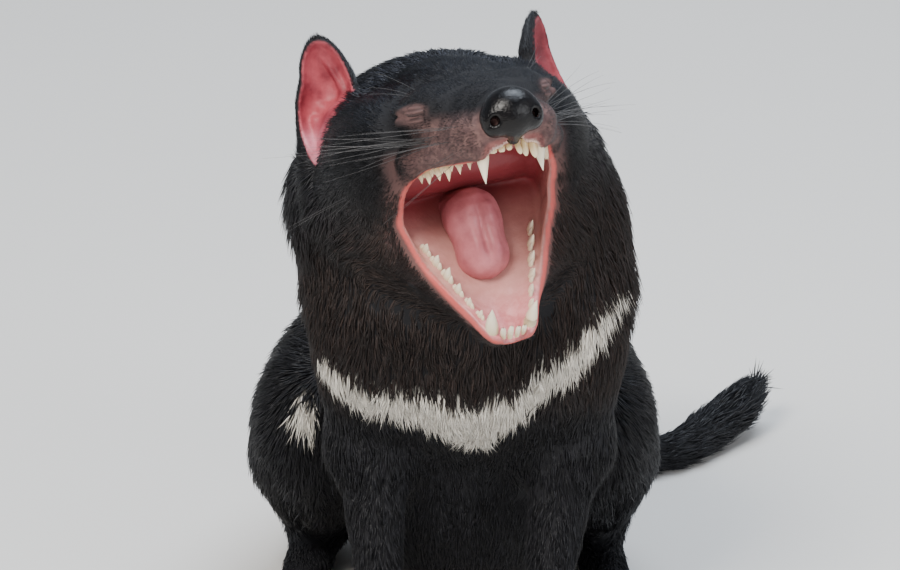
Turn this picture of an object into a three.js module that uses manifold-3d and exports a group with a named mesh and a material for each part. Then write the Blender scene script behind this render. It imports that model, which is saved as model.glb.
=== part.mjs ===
// Tasmanian devil, life size, sitting upright with its mouth wide open.
// Millimetres. +Z is up, the animal faces -Y, +X is its left side, and z = 0 is the floor.
//
// The body is written as fields. A field is a function of a point that gives its distance to a surface,
// negative inside. Ellipsoids and tapered limbs blend into one smooth outline of the coat, which is meshed,
// simplified, and parted into named pieces with thin cuts. Teeth, claws and locks are joined on afterwards.

import * as THREE from "three";
import Module from "manifold-3d";
import { mergeVertices } from "three/addons/utils/BufferGeometryUtils.js";

const wasm = await Module();
wasm.setup();

// Driving dimensions

const GAP = 0.3; // free space between neighbouring pieces
const JAW_HINGE = [0, 20, 265]; // middle of the jaw joint, where the head's own frame has its origin
const HEAD_TURN = { yaw: 17, lift: 24, lean: 6 }; // degrees: towards its left, nose up, crown to its right
const GAPE = 63; // degrees between the jaws
const FORE_PAW = { left: [41, -4], right: [-32, 2] }; // middle of each forepaw on the floor
const HIND_TOES = { left: [78, 88], right: [-74, 92] }; // front of each hind foot on the floor
const PELVIS = [1, 214, 82];
const CHEST = [8, 62, 178];

const LEFT = 1;
const RIGHT = -1;
const SIDES = { left: LEFT, right: RIGHT };

const radians = THREE.MathUtils.degToRad;
const mix = THREE.MathUtils.lerp;
const clamp = THREE.MathUtils.clamp;
const vector = (p) => new THREE.Vector3(...p);

// Fields

// An ellipsoid with its middle at `at` and half axes `size`, turned about X, Y and Z in degrees.
function egg({ at, size, turn = [0, 0, 0] }) {
  const [cx, cy, cz] = at;
  const [rx, ry, rz] = size;
  const e = new THREE.Matrix4().makeRotationFromEuler(new THREE.Euler(...turn.map(radians))).elements;
  return (x, y, z) => {
    const dx = x - cx;
    const dy = y - cy;
    const dz = z - cz;
    const ux = (e[0] * dx + e[1] * dy + e[2] * dz) / rx;
    const uy = (e[4] * dx + e[5] * dy + e[6] * dz) / ry;
    const uz = (e[8] * dx + e[9] * dy + e[10] * dz) / rz;
    const near = Math.sqrt(ux * ux + uy * uy + uz * uz);
    const slope = Math.sqrt((ux / rx) ** 2 + (uy / ry) ** 2 + (uz / rz) ** 2);
    return slope < 1e-9 ? -Math.min(rx, ry, rz) : (near * (near - 1)) / slope;
  };
}

// A round limb from `from` to `to` whose radius changes evenly.
function limb({ from, to, radii }) {
  const [ax, ay, az] = from;
  const [bx, by, bz] = to.map((c, i) => c - from[i]);
  const span = bx * bx + by * by + bz * bz;
  const [start, end] = radii;
  return (x, y, z) => {
    const px = x - ax;
    const py = y - ay;
    const pz = z - az;
    const t = clamp((px * bx + py * by + pz * bz) / span, 0, 1);
    const dx = px - t * bx;
    const dy = py - t * by;
    const dz = pz - t * bz;
    return Math.sqrt(dx * dx + dy * dy + dz * dz) - (start + (end - start) * t);
  };
}

function blendTwo(a, b, reach) {
  const h = Math.max(reach - Math.abs(a - b), 0) / reach;
  return Math.min(a, b) - (h * h * reach) / 4;
}

// One surface round several fields, with fillets about `reach` wide where they meet.
function blend(reach, ...fields) {
  return (x, y, z) => {
    let d = fields[0](x, y, z);
    for (let i = 1; i < fields.length; i++) d = blendTwo(d, fields[i](x, y, z), reach);
    return d;
  };
}

// `field` with `tool` taken away, and edges about `reach` wide.
function carve(reach, field, tool) {
  return (x, y, z) => -blendTwo(-field(x, y, z), tool(x, y, z), reach);
}

// A row of limbs through points that each hold x, y, z and a radius, smoothed by a curve.
function strand(points, steps, reach) {
  const line = new THREE.CatmullRomCurve3(points.map((p) => vector(p.slice(0, 3))));
  const at = (i) => line.getPoint(i / steps).toArray();
  const radius = (i) => {
    const t = (i / steps) * (points.length - 1);
    const k = Math.min(Math.floor(t), points.length - 2);
    return mix(points[k][3], points[k + 1][3], t - k);
  };
  const limbs = Array.from({ length: steps }, (_, i) =>
    limb({ from: at(i), to: at(i + 1), radii: [radius(i), radius(i + 1)] }),
  );
  return blend(reach, ...limbs);
}

// The same field on both sides of x = 0, written for the left side.
function mirrored(field) {
  return (x, y, z) => field(Math.abs(x), y, z);
}

// A field moved by a rigid matrix.
function placed(matrix, field) {
  const e = matrix.clone().invert().elements;
  return (x, y, z) =>
    field(
      e[0] * x + e[4] * y + e[8] * z + e[12],
      e[1] * x + e[5] * y + e[9] * z + e[13],
      e[2] * x + e[6] * y + e[10] * z + e[14],
    );
}

// A field that is only worked out within `near` of a ball round it, so that far points are quick.
function within(at, radius, field) {
  const [cx, cy, cz] = at;
  const margin = 45;
  return (x, y, z) => {
    const far = Math.sqrt((x - cx) ** 2 + (y - cy) ** 2 + (z - cz) ** 2) - radius;
    return far > margin ? far : field(x, y, z);
  };
}

// Frames

function turnOf({ yaw, lift, lean }) {
  const turn = new THREE.Matrix4().makeRotationZ(radians(yaw));
  turn.multiply(new THREE.Matrix4().makeRotationX(radians(-lift)));
  return turn.multiply(new THREE.Matrix4().makeRotationY(radians(-lean)));
}

const headFrame = turnOf(HEAD_TURN).setPosition(...JAW_HINGE);
const jawTurn = new THREE.Matrix4().makeRotationX(radians(GAPE));
const jawFrame = headFrame.clone().multiply(jawTurn);
const jawInHead = (p) => vector(p).applyMatrix4(jawTurn).toArray();

// Head, in its own frame: origin at the jaw hinge, nose towards -Y, for the left side where mirrored

const NOSE = { at: [0, -99, 6.7], size: [12.6, 10, 11] };
const EARS = {
  left: { at: [49.6, 16.3, 7.8], turn: [5.8, 7.5, 53.5] },
  right: { at: [-44.8, 14.1, 15.8], turn: [4.6, -3.6, -24.1] },
};
const [EAR_WIDE, EAR_DEEP, EAR_TALL] = [13.1, 7.5, 46];
const LOBE = { out: 9.2, up: 6.4, size: [9.4, 6.8, 22.8] }; // lower outer part of the ear
const UPPER_GUM = -8;
const LOWER_GUM = -10;

const skull = blend(
  14,
  egg({ at: [0, 2, 10], size: [45, 44, 33] }), // cranium
  egg({ at: [0, 20, 21], size: [38, 34, 23] }), // crown and nape
  limb({ from: [0, -66, 8], to: [0, -18, 15], radii: [16, 24] }), // bridge of the nose and forehead
  egg({ at: [0, -70, 1], size: [24, 28, 15] }), // muzzle
  mirrored(egg({ at: [37, -9, 3], size: [24, 31, 27], turn: [0, 0, -12] })), // cheekbones
  mirrored(egg({ at: [21, -48, 16], size: [14, 18, 13] })), // brows
);
const muzzle = blend(
  6,
  mirrored(egg({ at: [12, -82, -1], size: [12, 16, 10.5] })), // whisker pads
  mirrored(limb({ from: [14.5, -88, -8.5], to: [33.5, -44, -8], radii: [4, 6] })), // upper lips
  limb({ from: [-14.5, -88, -8.5], to: [14.5, -88, -8.5], radii: [4, 4] }),
  egg({ at: [0, -88, 7], size: [12.5, 14, 11] }), // root of the nose pad
);
const temple = mirrored(egg({ at: [41, 8, 20], size: [14, 18, 15] })); // root of the ear

const mandible = blend(
  7,
  mirrored(limb({ from: [7, -82, -17], to: [27, -36, -19], radii: [8, 12] })),
  mirrored(limb({ from: [27, -36, -19], to: [31, 0, -13], radii: [12, 19] })),
  egg({ at: [0, -84, -17], size: [11, 10, 8.5] }), // chin
  egg({ at: [0, -52, -21], size: [22, 36, 9] }), // floor of the mouth
  mirrored(limb({ from: [8.5, -89, -13], to: [31, -42, -13.5], radii: [3.2, 5] })), // lower lips
  limb({ from: [-8.5, -89, -13], to: [8.5, -89, -13], radii: [3.2, 3.2] }),
);

// The cheek is drawn between the jaws in a fold that runs from lip to lip.
const cheekFold = mirrored(
  blend(
    8,
    limb({ from: [32, -44, -9], to: [37, -19, -15], radii: [6, 5] }),
    limb({ from: [37, -19, -15], to: jawInHead([31, -42, -13]), radii: [5, 5] }),
    limb({ from: [36, -16, -8], to: jawInHead([34, -18, -12]), radii: [15, 14] }),
  ),
);

// The open mouth is a wedge about the jaw hinge, as wide as the tooth rows, with a vaulted palate and a
// trough between the lower teeth.
const THROAT = 17;
const rowHalfWidth = (range) => clamp(9.5 + (92 - range) * 0.38, 5, 33);

function mouthHollow(x, y, z) {
  const side = Math.abs(x);
  const range = Math.sqrt(y * y + z * z);
  const row = rowHalfWidth(range);
  const vault = 6 * clamp(1 - (side / (row - 3)) ** 2, 0, 1);
  const roof = UPPER_GUM + vault - z;
  const angle = radians(-GAPE);
  const jawZ = y * Math.sin(angle) + z * Math.cos(angle);
  const trough = 6 * clamp(1 - (side / (row - 3)) ** 2, 0, 1);
  const floorHeight = jawZ - LOWER_GUM + trough;
  const wall = row + 1.5 - side;
  const back = range - THROAT;
  return -blendTwo(blendTwo(roof, floorHeight, 3), blendTwo(wall, back, 6), 4);
}

const tongue = blend(
  7,
  limb({ from: [0, -17, -3.5], to: [0, -35, -5], radii: [11, 12.5] }),
  limb({ from: [0, -35, -5], to: [0, -50, -9.5], radii: [12.5, 11] }),
);
const TONGUE_GROOVE = { from: [0, -56, 2.5], to: [0, -14, 9.5], radii: [1.4, 2.2] };
const tongueInJaw = carve(2.5, tongue, limb(TONGUE_GROOVE));

const nosePad = carve(
  2.2,
  carve(
    2,
    blend(
      3,
      egg(NOSE),
      mirrored(egg({ at: [9, -98.5, 3.4], size: [5, 7, 6.2] })), // wings of the nostrils
      limb({ from: [0, -99.5, -1.5], to: [0, -95, -6.5], radii: [4.6, 3.2] }), // down to the lip
    ),
    limb({ from: [0, -111, 1], to: [0, -98.5, -9], radii: [1.1, 1] }), // groove in the middle
  ),
  mirrored(
    blend(
      2,
      limb({ from: [9.6, -109, 4.6], to: [8.2, -100, 3.4], radii: [2.7, 2] }), // nostril
      limb({ from: [9.8, -107, 3.6], to: [15, -102, 0.8], radii: [1.7, 1.1] }), // its slit to the side
    ),
  ),
);

const lids = mirrored(
  blend(
    2,
    limb({ from: [25, -61.5, 16.5], to: [34.5, -51.5, 19.5], radii: [3, 3.2] }), // upper lid
    limb({ from: [25.5, -61, 12.6], to: [35.5, -51.5, 14.4], radii: [2.6, 2.8] }), // lower lid
  ),
);
const eyeSlit = mirrored(limb({ from: [25.5, -64.5, 14.6], to: [37.5, -52.5, 16.8], radii: [0.9, 0.9] }));

// The ear is a cup: an upright ellipsoid with a smaller one taken out of its front.
function turned({ at, turn }) {
  const matrix = new THREE.Matrix4().makeRotationFromEuler(new THREE.Euler(...turn.map(radians)));
  return matrix.setPosition(...at);
}
const onSide = ({ at, turn }, side) =>
  turned({ at: [side * at[0], at[1], at[2]], turn: [turn[0], side * turn[1], side * turn[2]] });
const earFrame = { left: turned(EARS.left), right: turned(EARS.right) };
const earCup = (side) =>
  carve(
    2,
    blend(
      4,
      egg({ at: [0, 0, EAR_TALL * 0.42], size: [EAR_WIDE, EAR_DEEP, EAR_TALL * 0.62] }),
      egg({ at: [side * LOBE.out, 0, LOBE.up], size: LOBE.size }),
    ),
    blend(
      4,
      egg({
        at: [0, -EAR_DEEP * 0.92, EAR_TALL * 0.48],
        size: [EAR_WIDE * 0.84, EAR_DEEP * 1.5, EAR_TALL * 0.56],
      }),
      egg({
        at: [side * LOBE.out, -EAR_DEEP * 0.92, LOBE.up + 2],
        size: [LOBE.size[0] * 0.74, EAR_DEEP * 1.4, LOBE.size[2] * 0.8],
      }),
    ),
  );
const ears = blend(2, placed(earFrame.left, earCup(LEFT)), placed(earFrame.right, earCup(RIGHT)));

const face = blend(9, skull, muzzle, cheekFold, placed(jawTurn, mandible), temple);
const faceWithMouth = carve(3.5, face, mouthHollow);
const headField = placed(
  headFrame,
  carve(
    1.2,
    blend(
      3,
      blend(2.5, faceWithMouth, nosePad),
      placed(jawTurn, tongueInJaw),
      lids,
      ears,
    ),
    eyeSlit,
  ),
);

// Body

const neck = blend(
  30,
  egg({ at: [4, 50, 217], size: [69, 60, 58] }), // ruff of the neck
  egg({ at: [3, 62, 248], size: [60, 46, 40] }), // nape
  egg({ at: [-41, 34, 243], size: [26, 32, 33], turn: [0, 12, 0] }), // ruff of the cheeks
  egg({ at: [43, 40, 233], size: [25, 32, 35], turn: [0, -12, 0] }),
);
const trunk = blend(
  34,
  egg({ at: [CHEST[0], CHEST[1] - 4, CHEST[2] - 2], size: [62, 62, 72] }), // chest
  egg({ at: [6, 92, 196], size: [62, 66, 58], turn: [30, 0, 0] }), // withers and ribs
  egg({ at: [4, 150, 132], size: [68, 72, 68], turn: [40, 0, 0] }), // belly
  egg({ at: [5, 118, 84], size: [56, 70, 76] }), // sagging underside between the forelegs
  egg({ at: PELVIS, size: [66, 60, 78] }), // rump
);

function foreLeg(side) {
  const [pawX, pawY] = side === LEFT ? FORE_PAW.left : FORE_PAW.right;
  const shoulder = [CHEST[0] + side * 42, 40, 178];
  const elbow = [CHEST[0] + side * 46, 52, 112];
  const wrist = [pawX, pawY + 16, 30];
  const toe = (i) => [pawX + side * -2 + (i - 2) * 9.4, pawY - 24 + Math.abs(i - 2) * 2.8, 6.6];
  return {
    upper: blend(
      18,
      egg({ at: [shoulder[0] + side * 2, shoulder[1], shoulder[2]], size: [27, 40, 46] }),
      limb({ from: shoulder, to: elbow, radii: [30, 23] }),
    ),
    lower: limb({ from: elbow, to: wrist, radii: [20, 11] }),
    paw: blend(
      4,
      limb({ from: wrist, to: [pawX, pawY + 6, 14], radii: [11, 11] }),
      egg({ at: [pawX, pawY - 2, 9], size: [20, 20, 11] }),
      ...[0, 1, 2, 3, 4].map((i) =>
        limb({ from: [mix(pawX, toe(i)[0], 0.7), pawY - 6, 9], to: toe(i), radii: [6, 5] }),
      ),
    ),
    toe,
    wrist,
    elbow,
  };
}

function hindLeg(side) {
  const [toeX, toeY] = side === LEFT ? HIND_TOES.left : HIND_TOES.right;
  const knee = [PELVIS[0] + side * 72, 122, 92];
  const heel = [toeX - side * 8, toeY + 92, 15];
  const toe = (i) => [toeX + (i - 1.5) * 9.8, toeY + Math.abs(i - 1.5) * 2.4, 6.5];
  return {
    thigh: blend(
      20,
      egg({ at: [PELVIS[0] + side * 60, 160, 84], size: [36, 60, 56], turn: [20, 0, side * 10] }),
      egg({ at: knee, size: [24, 30, 34] }),
    ),
    shin: limb({ from: [knee[0], knee[1] + 16, 70], to: [heel[0], heel[1] - 4, 24], radii: [27, 16] }),
    foot: blend(
      4,
      limb({ from: heel, to: [toeX, toeY + 18, 9.5], radii: [13, 11] }),
      egg({ at: [toeX, toeY + 16, 8.5], size: [19, 22, 10] }),
      ...[0, 1, 2, 3].map((i) =>
        limb({ from: [mix(toeX, toe(i)[0], 0.7), toeY + 16, 9], to: toe(i), radii: [6, 5.2] }),
      ),
    ),
    toe,
    knee,
    heel,
  };
}

const foreLegs = { left: foreLeg(LEFT), right: foreLeg(RIGHT) };
const hindLegs = { left: hindLeg(LEFT), right: hindLeg(RIGHT) };

const TAIL = [
  [3, 246, 52, 27],
  [10, 274, 28, 20],
  [42, 288, 13.5, 14],
  [82, 284, 10.5, 11],
  [114, 294, 9.5, 10],
  [134, 316, 11.5, 12],
  [150, 336, 17, 12],
  [160, 350, 22, 7],
];
const tail = strand(TAIL, 16, 8);

const legFields = {
  fore: Object.values(foreLegs).map(({ upper, lower, paw }) => blend(12, upper, lower, paw)),
  hind: Object.values(hindLegs).map(({ thigh, shin, foot }) => blend(12, thigh, shin, foot)),
};
const body = blend(
  18,
  trunk,
  neck,
  ...legFields.fore.map((f, i) => within([i ? -17 : 41, 30, 110], 135, f)),
  ...legFields.hind.map((f, i) => within([i ? -70 : 74, 145, 70], 120, f)),
  within([80, 300, 30], 110, tail),
);
const headHere = within(JAW_HINGE, 125, headField);
const animal = blend(20, body, headHere);

// Meshes from fields

const BLOCK = 4; // samples along the side of a block that may be skipped whole

// The corners of a sampling cell, the twelve edges between them, and its six sides as rings of corners.
const CORNERS = [0, 1, 2, 3, 4, 5, 6, 7].map((c) => [c & 1, (c >> 1) & 1, c >> 2]);
const EDGES = CORNERS.flatMap((_, a) => [1, 2, 4].filter((bit) => !(a & bit)).map((bit) => [a, a | bit]));
const RINGS = [1, 2, 4].flatMap((bit) => {
  const [u, w] = [1, 2, 4].filter((other) => other !== bit);
  return [0, bit].map((base) => [base, base | u, base | u | w, base | w]);
});

// Numbers the crossed edges of a cell by the sheet of surface they are on, for a pattern of inside corners.
const sheetTable = new Map();
function sheetsOf(pattern) {
  if (sheetTable.has(pattern)) return sheetTable.get(pattern);
  const inside = (corner) => (pattern >> corner) & 1;
  const group = EDGES.map(([a, b], e) => (inside(a) === inside(b) ? -1 : e));
  for (const ring of RINGS) {
    const sides = ring.map((a, i) => {
      const b = ring[(i + 1) % 4];
      return EDGES.findIndex(([from, to]) => from === Math.min(a, b) && to === Math.max(a, b));
    });
    ring.forEach((corner, i) => {
      if (!inside(corner) || sides.every((e) => group[e] < 0)) return;
      const [ahead, behind] = [1, -1].map((step) => {
        let s = step > 0 ? i : (i + 3) % 4;
        while (group[sides[s]] < 0) s = (s + step + 4) % 4;
        return group[sides[s]];
      });
      group.forEach((g, e) => {
        if (g === behind) group[e] = ahead;
      });
    });
  }
  const names = [...new Set(group)].filter((g) => g >= 0);
  sheetTable.set(pattern, group.map((g) => names.indexOf(g)));
  return sheetTable.get(pattern);
}

// The surface of a field inside a box, as vertices and triangles. What crosses the box is closed at its side.
function surfaceOf(field, box, cell) {
  const counts = box.getSize(new THREE.Vector3()).divideScalar(cell).ceil().addScalar(3);
  const [nx, ny, nz] = counts.toArray();
  const low = box.min.clone().subScalar(cell);
  const value = new Float32Array(nx * ny * nz).fill(cell);
  const strideY = nx;
  const strideZ = nx * ny;
  const sample = (i, j, k) => field(low.x + i * cell, low.y + j * cell, low.z + k * cell);
  const farOff = BLOCK * cell * 1.6;
  for (let k0 = 1; k0 < nz - 1; k0 += BLOCK)
    for (let j0 = 1; j0 < ny - 1; j0 += BLOCK)
      for (let i0 = 1; i0 < nx - 1; i0 += BLOCK) {
        const middle = sample(i0 + 1.5, j0 + 1.5, k0 + 1.5);
        const whole = Math.abs(middle) > farOff;
        for (let k = k0; k < Math.min(k0 + BLOCK, nz - 1); k++)
          for (let j = j0; j < Math.min(j0 + BLOCK, ny - 1); j++)
            for (let i = i0; i < Math.min(i0 + BLOCK, nx - 1); i++)
              value[i + j * strideY + k * strideZ] = whole ? middle : sample(i, j, k);
      }

  const offset = CORNERS.map(([i, j, k]) => i + j * strideY + k * strideZ);
  const mask = new Uint8Array(value.length);
  const firstVertex = new Int32Array(value.length);
  const position = [];
  for (let k = 0; k < nz - 1; k++)
    for (let j = 0; j < ny - 1; j++)
      for (let i = 0; i < nx - 1; i++) {
        const at = i + j * strideY + k * strideZ;
        for (let c = 0; c < 8; c++) if (value[at + offset[c]] < 0) mask[at] |= 1 << c;
        if (mask[at] === 0 || mask[at] === 255) continue;
        const sheets = sheetsOf(mask[at]);
        const sums = Array.from({ length: Math.max(...sheets) + 1 }, () => [0, 0, 0, 0]);
        EDGES.forEach(([a, b], e) => {
          if (sheets[e] < 0) return;
          const va = value[at + offset[a]];
          const t = va / (va - value[at + offset[b]]);
          const sum = sums[sheets[e]];
          for (let c = 0; c < 3; c++) sum[c] += mix(CORNERS[a][c], CORNERS[b][c], t);
          sum[3]++;
        });
        firstVertex[at] = position.length / 3;
        for (const [x, y, z, n] of sums)
          position.push(low.x + (i + x / n) * cell, low.y + (j + y / n) * cell, low.z + (k + z / n) * cell);
      }

  const faces = [];
  const strides = [1, strideY, strideZ];
  for (let k = 0; k < nz - 1; k++)
    for (let j = 0; j < ny - 1; j++)
      for (let i = 0; i < nx - 1; i++) {
        const at = i + j * strideY + k * strideZ;
        for (let axis = 0; axis < 3; axis++) {
          const here = value[at] < 0;
          if (here === value[at + strides[axis]] < 0) continue;
          const [u, w] = [(axis + 1) % 3, (axis + 2) % 3];
          const [a, b, c, d] = [0, 1 << u, (1 << u) | (1 << w), 1 << w].map((corner) => {
            const cellAt = at - offset[corner];
            const edge = EDGES.findIndex(([from, to]) => from === corner && to === (corner | (1 << axis)));
            return firstVertex[cellAt] + sheetsOf(mask[cellAt])[edge];
          });
          if (here) faces.push(a, b, c, a, c, d);
          else faces.push(a, c, b, a, d, c);
        }
      }
  return { position, faces };
}

// A heap that gives the cheapest entry first.
class Heap {
  items = [];

  push(item) {
    const items = this.items;
    let i = items.push(item) - 1;
    while (i > 0) {
      const parent = (i - 1) >> 1;
      if (items[parent].cost <= item.cost) break;
      items[i] = items[parent];
      i = parent;
    }
    items[i] = item;
  }

  pop() {
    const items = this.items;
    const top = items[0];
    const last = items.pop();
    if (items.length === 0) return top;
    let i = 0;
    for (;;) {
      let child = 2 * i + 1;
      if (child >= items.length) break;
      if (child + 1 < items.length && items[child + 1].cost < items[child].cost) child++;
      if (items[child].cost >= last.cost) break;
      items[i] = items[child];
      i = child;
    }
    items[i] = last;
    return top;
  }
}

// Joins the edges that matter least to the shape, until about `target` triangles are left.
function simplified({ position, faces }, target) {
  const count = position.length / 3;
  const quadric = new Float64Array(count * 10);
  const facesOf = Array.from({ length: count }, () => new Set());
  const version = new Int32Array(count);
  const [p, q, r, n] = [0, 1, 2, 3].map(() => new THREE.Vector3());
  const get = (v, out) => out.set(position[3 * v], position[3 * v + 1], position[3 * v + 2]);

  for (let f = 0; f < faces.length; f += 3) {
    get(faces[f], p);
    get(faces[f + 1], q).sub(p);
    get(faces[f + 2], r).sub(p);
    n.crossVectors(q, r);
    const area = n.length() / 2;
    n.normalize();
    const plane = [n.x, n.y, n.z, -n.dot(p)];
    for (let c = 0; c < 3; c++) {
      const v = faces[f + c];
      facesOf[v].add(f);
      let s = 0;
      for (let i = 0; i < 4; i++)
        for (let j = i; j < 4; j++) quadric[10 * v + s++] += area * plane[i] * plane[j];
    }
  }

  const errorAt = (Q, x, y, z) =>
    Q[0] * x * x + 2 * Q[1] * x * y + 2 * Q[2] * x * z + 2 * Q[3] * x + Q[4] * y * y + 2 * Q[5] * y * z
    + 2 * Q[6] * y + Q[7] * z * z + 2 * Q[8] * z + Q[9];

  // Where an edge's two ends should meet, and what that costs.
  function meeting(a, b) {
    const Q = new Float64Array(10);
    for (let i = 0; i < 10; i++) Q[i] = quadric[10 * a + i] + quadric[10 * b + i];
    get(a, p);
    get(b, q);
    const length2 = p.distanceToSquared(q);
    const matrix = new THREE.Matrix3().set(Q[0], Q[1], Q[2], Q[1], Q[4], Q[5], Q[2], Q[5], Q[7]);
    const middle = p.clone().add(q).multiplyScalar(0.5);
    let best = middle;
    const size = Q[0] + Q[4] + Q[7];
    if (Math.abs(matrix.determinant()) > 1e-4 * size ** 3) {
      const solved = new THREE.Vector3(-Q[3], -Q[6], -Q[8]).applyMatrix3(matrix.invert());
      if (solved.distanceToSquared(middle) < 2 * length2) best = solved;
    }
    const cost = errorAt(Q, best.x, best.y, best.z) + 2e-4 * length2 * length2;
    return { cost, a, b, at: best, stamp: version[a] + version[b] };
  }

  const neighbours = (v) => {
    const found = new Set();
    for (const f of facesOf[v]) for (let c = 0; c < 3; c++) found.add(faces[f + c]);
    found.delete(v);
    return found;
  };

  // True if moving `v` to `at` turns none of its faces over, apart from those that also hold `other`.
  function staysFlat(v, other, at) {
    for (const f of facesOf[v]) {
      const ids = [faces[f], faces[f + 1], faces[f + 2]];
      if (ids.includes(other)) continue;
      const before = ids.map((id) => get(id, new THREE.Vector3()));
      const after = ids.map((id, i) => (id === v ? at : before[i]));
      const normal = ([x, y, z]) => y.clone().sub(x).cross(z.clone().sub(x));
      const [old, now] = [normal(before), normal(after)];
      if (old.dot(now) < 0.25 * old.length() * now.length()) return false;
      const longest = Math.max(...after.map((x, i) => x.distanceToSquared(after[(i + 1) % 3])));
      if (now.length() < 0.04 * longest) return false;
    }
    return true;
  }

  const heap = new Heap();
  for (let v = 0; v < count; v++) for (const w of neighbours(v)) if (v < w) heap.push(meeting(v, w));
  let left = faces.length / 3;
  while (left > target && heap.items.length) {
    const { a, b, at, stamp } = heap.pop();
    if (facesOf[a].size === 0 || facesOf[b].size === 0 || stamp !== version[a] + version[b]) continue;
    const [aroundA, aroundB] = [neighbours(a), neighbours(b)];
    if ([...aroundA].filter((v) => aroundB.has(v)).length !== 2) continue;
    if (!staysFlat(a, b, at) || !staysFlat(b, a, at)) continue;
    for (const f of [...facesOf[b]]) {
      const ids = [0, 1, 2].map((c) => faces[f + c]);
      if (ids.includes(a)) {
        for (const id of ids) facesOf[id].delete(f);
        left--;
      } else {
        faces[f + ids.indexOf(b)] = a;
        facesOf[a].add(f);
      }
    }
    facesOf[b].clear();
    position.splice(3 * a, 3, at.x, at.y, at.z);
    for (let i = 0; i < 10; i++) quadric[10 * a + i] += quadric[10 * b + i];
    version[a]++;
    version[b]++;
    for (const v of neighbours(a)) heap.push(meeting(a, v));
  }
  const kept = new Set(facesOf.flatMap((set) => [...set]));
  return { position, faces: [...kept].flatMap((f) => [faces[f], faces[f + 1], faces[f + 2]]) };
}

// Solids

function solidOf(geometry) {
  const bare = new THREE.BufferGeometry().setAttribute("position", geometry.getAttribute("position"));
  if (geometry.index) bare.setIndex(geometry.index);
  const merged = mergeVertices(bare, 1e-4);
  return new wasm.Manifold(
    new wasm.Mesh({
      numProp: 3,
      vertProperties: new Float32Array(merged.attributes.position.array),
      triVerts: new Uint32Array(merged.index.array),
    }),
  );
}

function geometryOf(solid) {
  const { numProp, numVert, vertProperties, triVerts } = solid.getMesh();
  const position = new Float32Array(numVert * 3);
  for (let i = 0; i < numVert; i++)
    position.set(vertProperties.subarray(i * numProp, i * numProp + 3), 3 * i);
  const geometry = new THREE.BufferGeometry().setAttribute("position", new THREE.BufferAttribute(position, 3));
  geometry.setIndex(new THREE.BufferAttribute(new Uint32Array(triVerts), 1));
  geometry.computeVertexNormals();
  return geometry;
}

function fieldSolid(field, [low, high], cell, triangles) {
  const { position, faces } = simplified(
    surfaceOf(field, new THREE.Box3(vector(low), vector(high)), cell),
    triangles,
  );
  const geometry = new THREE.BufferGeometry();
  geometry.setAttribute("position", new THREE.Float32BufferAttribute(position, 3));
  geometry.setIndex(faces);
  return solidOf(geometry);
}

const BIG = 900;

// Everything on the side of a plane that `towards` points to, moved out by `grow`.
function beyond(point, towards, grow = 0) {
  const normal = vector(towards).normalize();
  const box = new THREE.BoxGeometry(BIG, BIG, BIG);
  box.applyQuaternion(new THREE.Quaternion().setFromUnitVectors(new THREE.Vector3(0, 0, 1), normal));
  const centre = vector(point).addScaledVector(normal, BIG / 2 - grow);
  box.translate(...centre.toArray());
  return solidOf(box);
}

// A cylinder with an oval outline seen from the side, that reaches outwards from `inner` along X.
function sideOval({ middle, height, depth, turn, inner, side }, grow = 0) {
  const reach = 200;
  const oval = new THREE.CylinderGeometry(1, 1, reach, 40);
  oval.rotateZ(Math.PI / 2);
  oval.scale(1, depth + grow, height + grow);
  oval.rotateX(radians(turn));
  oval.translate(side * (inner + reach / 2 - grow), middle[0], middle[1]);
  return solidOf(oval);
}

// Parts a solid in two with a thin gap: what lies in the cutter, and the rest.
function part(solid, cutter) {
  return [solid.intersect(cutter(0)), solid.subtract(cutter(GAP))];
}

function largest(solid) {
  const bodies = solid.decompose();
  return bodies.reduce((best, s) => (s.volume() > best.volume() ? s : best));
}

const floor = beyond([0, 0, 0], [0, 0, -1]);
const aboveFloor = (solid) => solid.subtract(floor);

// Teeth, in the frame of the skull or of the jaw, on both sides

// A tooth that stands on `root` and bends a little towards `tip`.
function tooth({ root, tip, radius, sides = 6 }) {
  const [from, to] = [vector(root), vector(tip)];
  const height = from.distanceTo(to);
  const sunk = 3.5;
  const crown = new THREE.CylinderGeometry(radius * 0.16, radius, height + sunk, sides, 2);
  crown.translate(0, (height - sunk) / 2, 0);
  const place = crown.attributes.position;
  for (let i = 0; i < place.count; i++) {
    const up = clamp(place.getY(i) / height, 0, 1);
    const swell = up > 0.2 && up < 0.8 ? 1.3 : 1;
    place.setX(i, place.getX(i) * swell);
    place.setZ(i, place.getZ(i) * swell);
  }
  crown.applyQuaternion(
    new THREE.Quaternion().setFromUnitVectors(new THREE.Vector3(0, 1, 0), to.sub(from).normalize()),
  );
  crown.translate(...root);
  return crown;
}

// Teeth of one jaw. `up` is the way its crowns point. Each row holds x, y, height, radius and outward lean.
function toothRow(frame, gum, up, rows) {
  const teeth = [];
  for (const [x, y, height, radius, lean] of rows)
    for (const side of Object.values(SIDES)) {
      const root = [side * x, y, gum - up * 1];
      const tip = [side * (x + lean), y - lean * 0.6, gum + up * height];
      teeth.push(tooth({ root, tip, radius }).applyMatrix4(frame));
    }
  return teeth;
}

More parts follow.
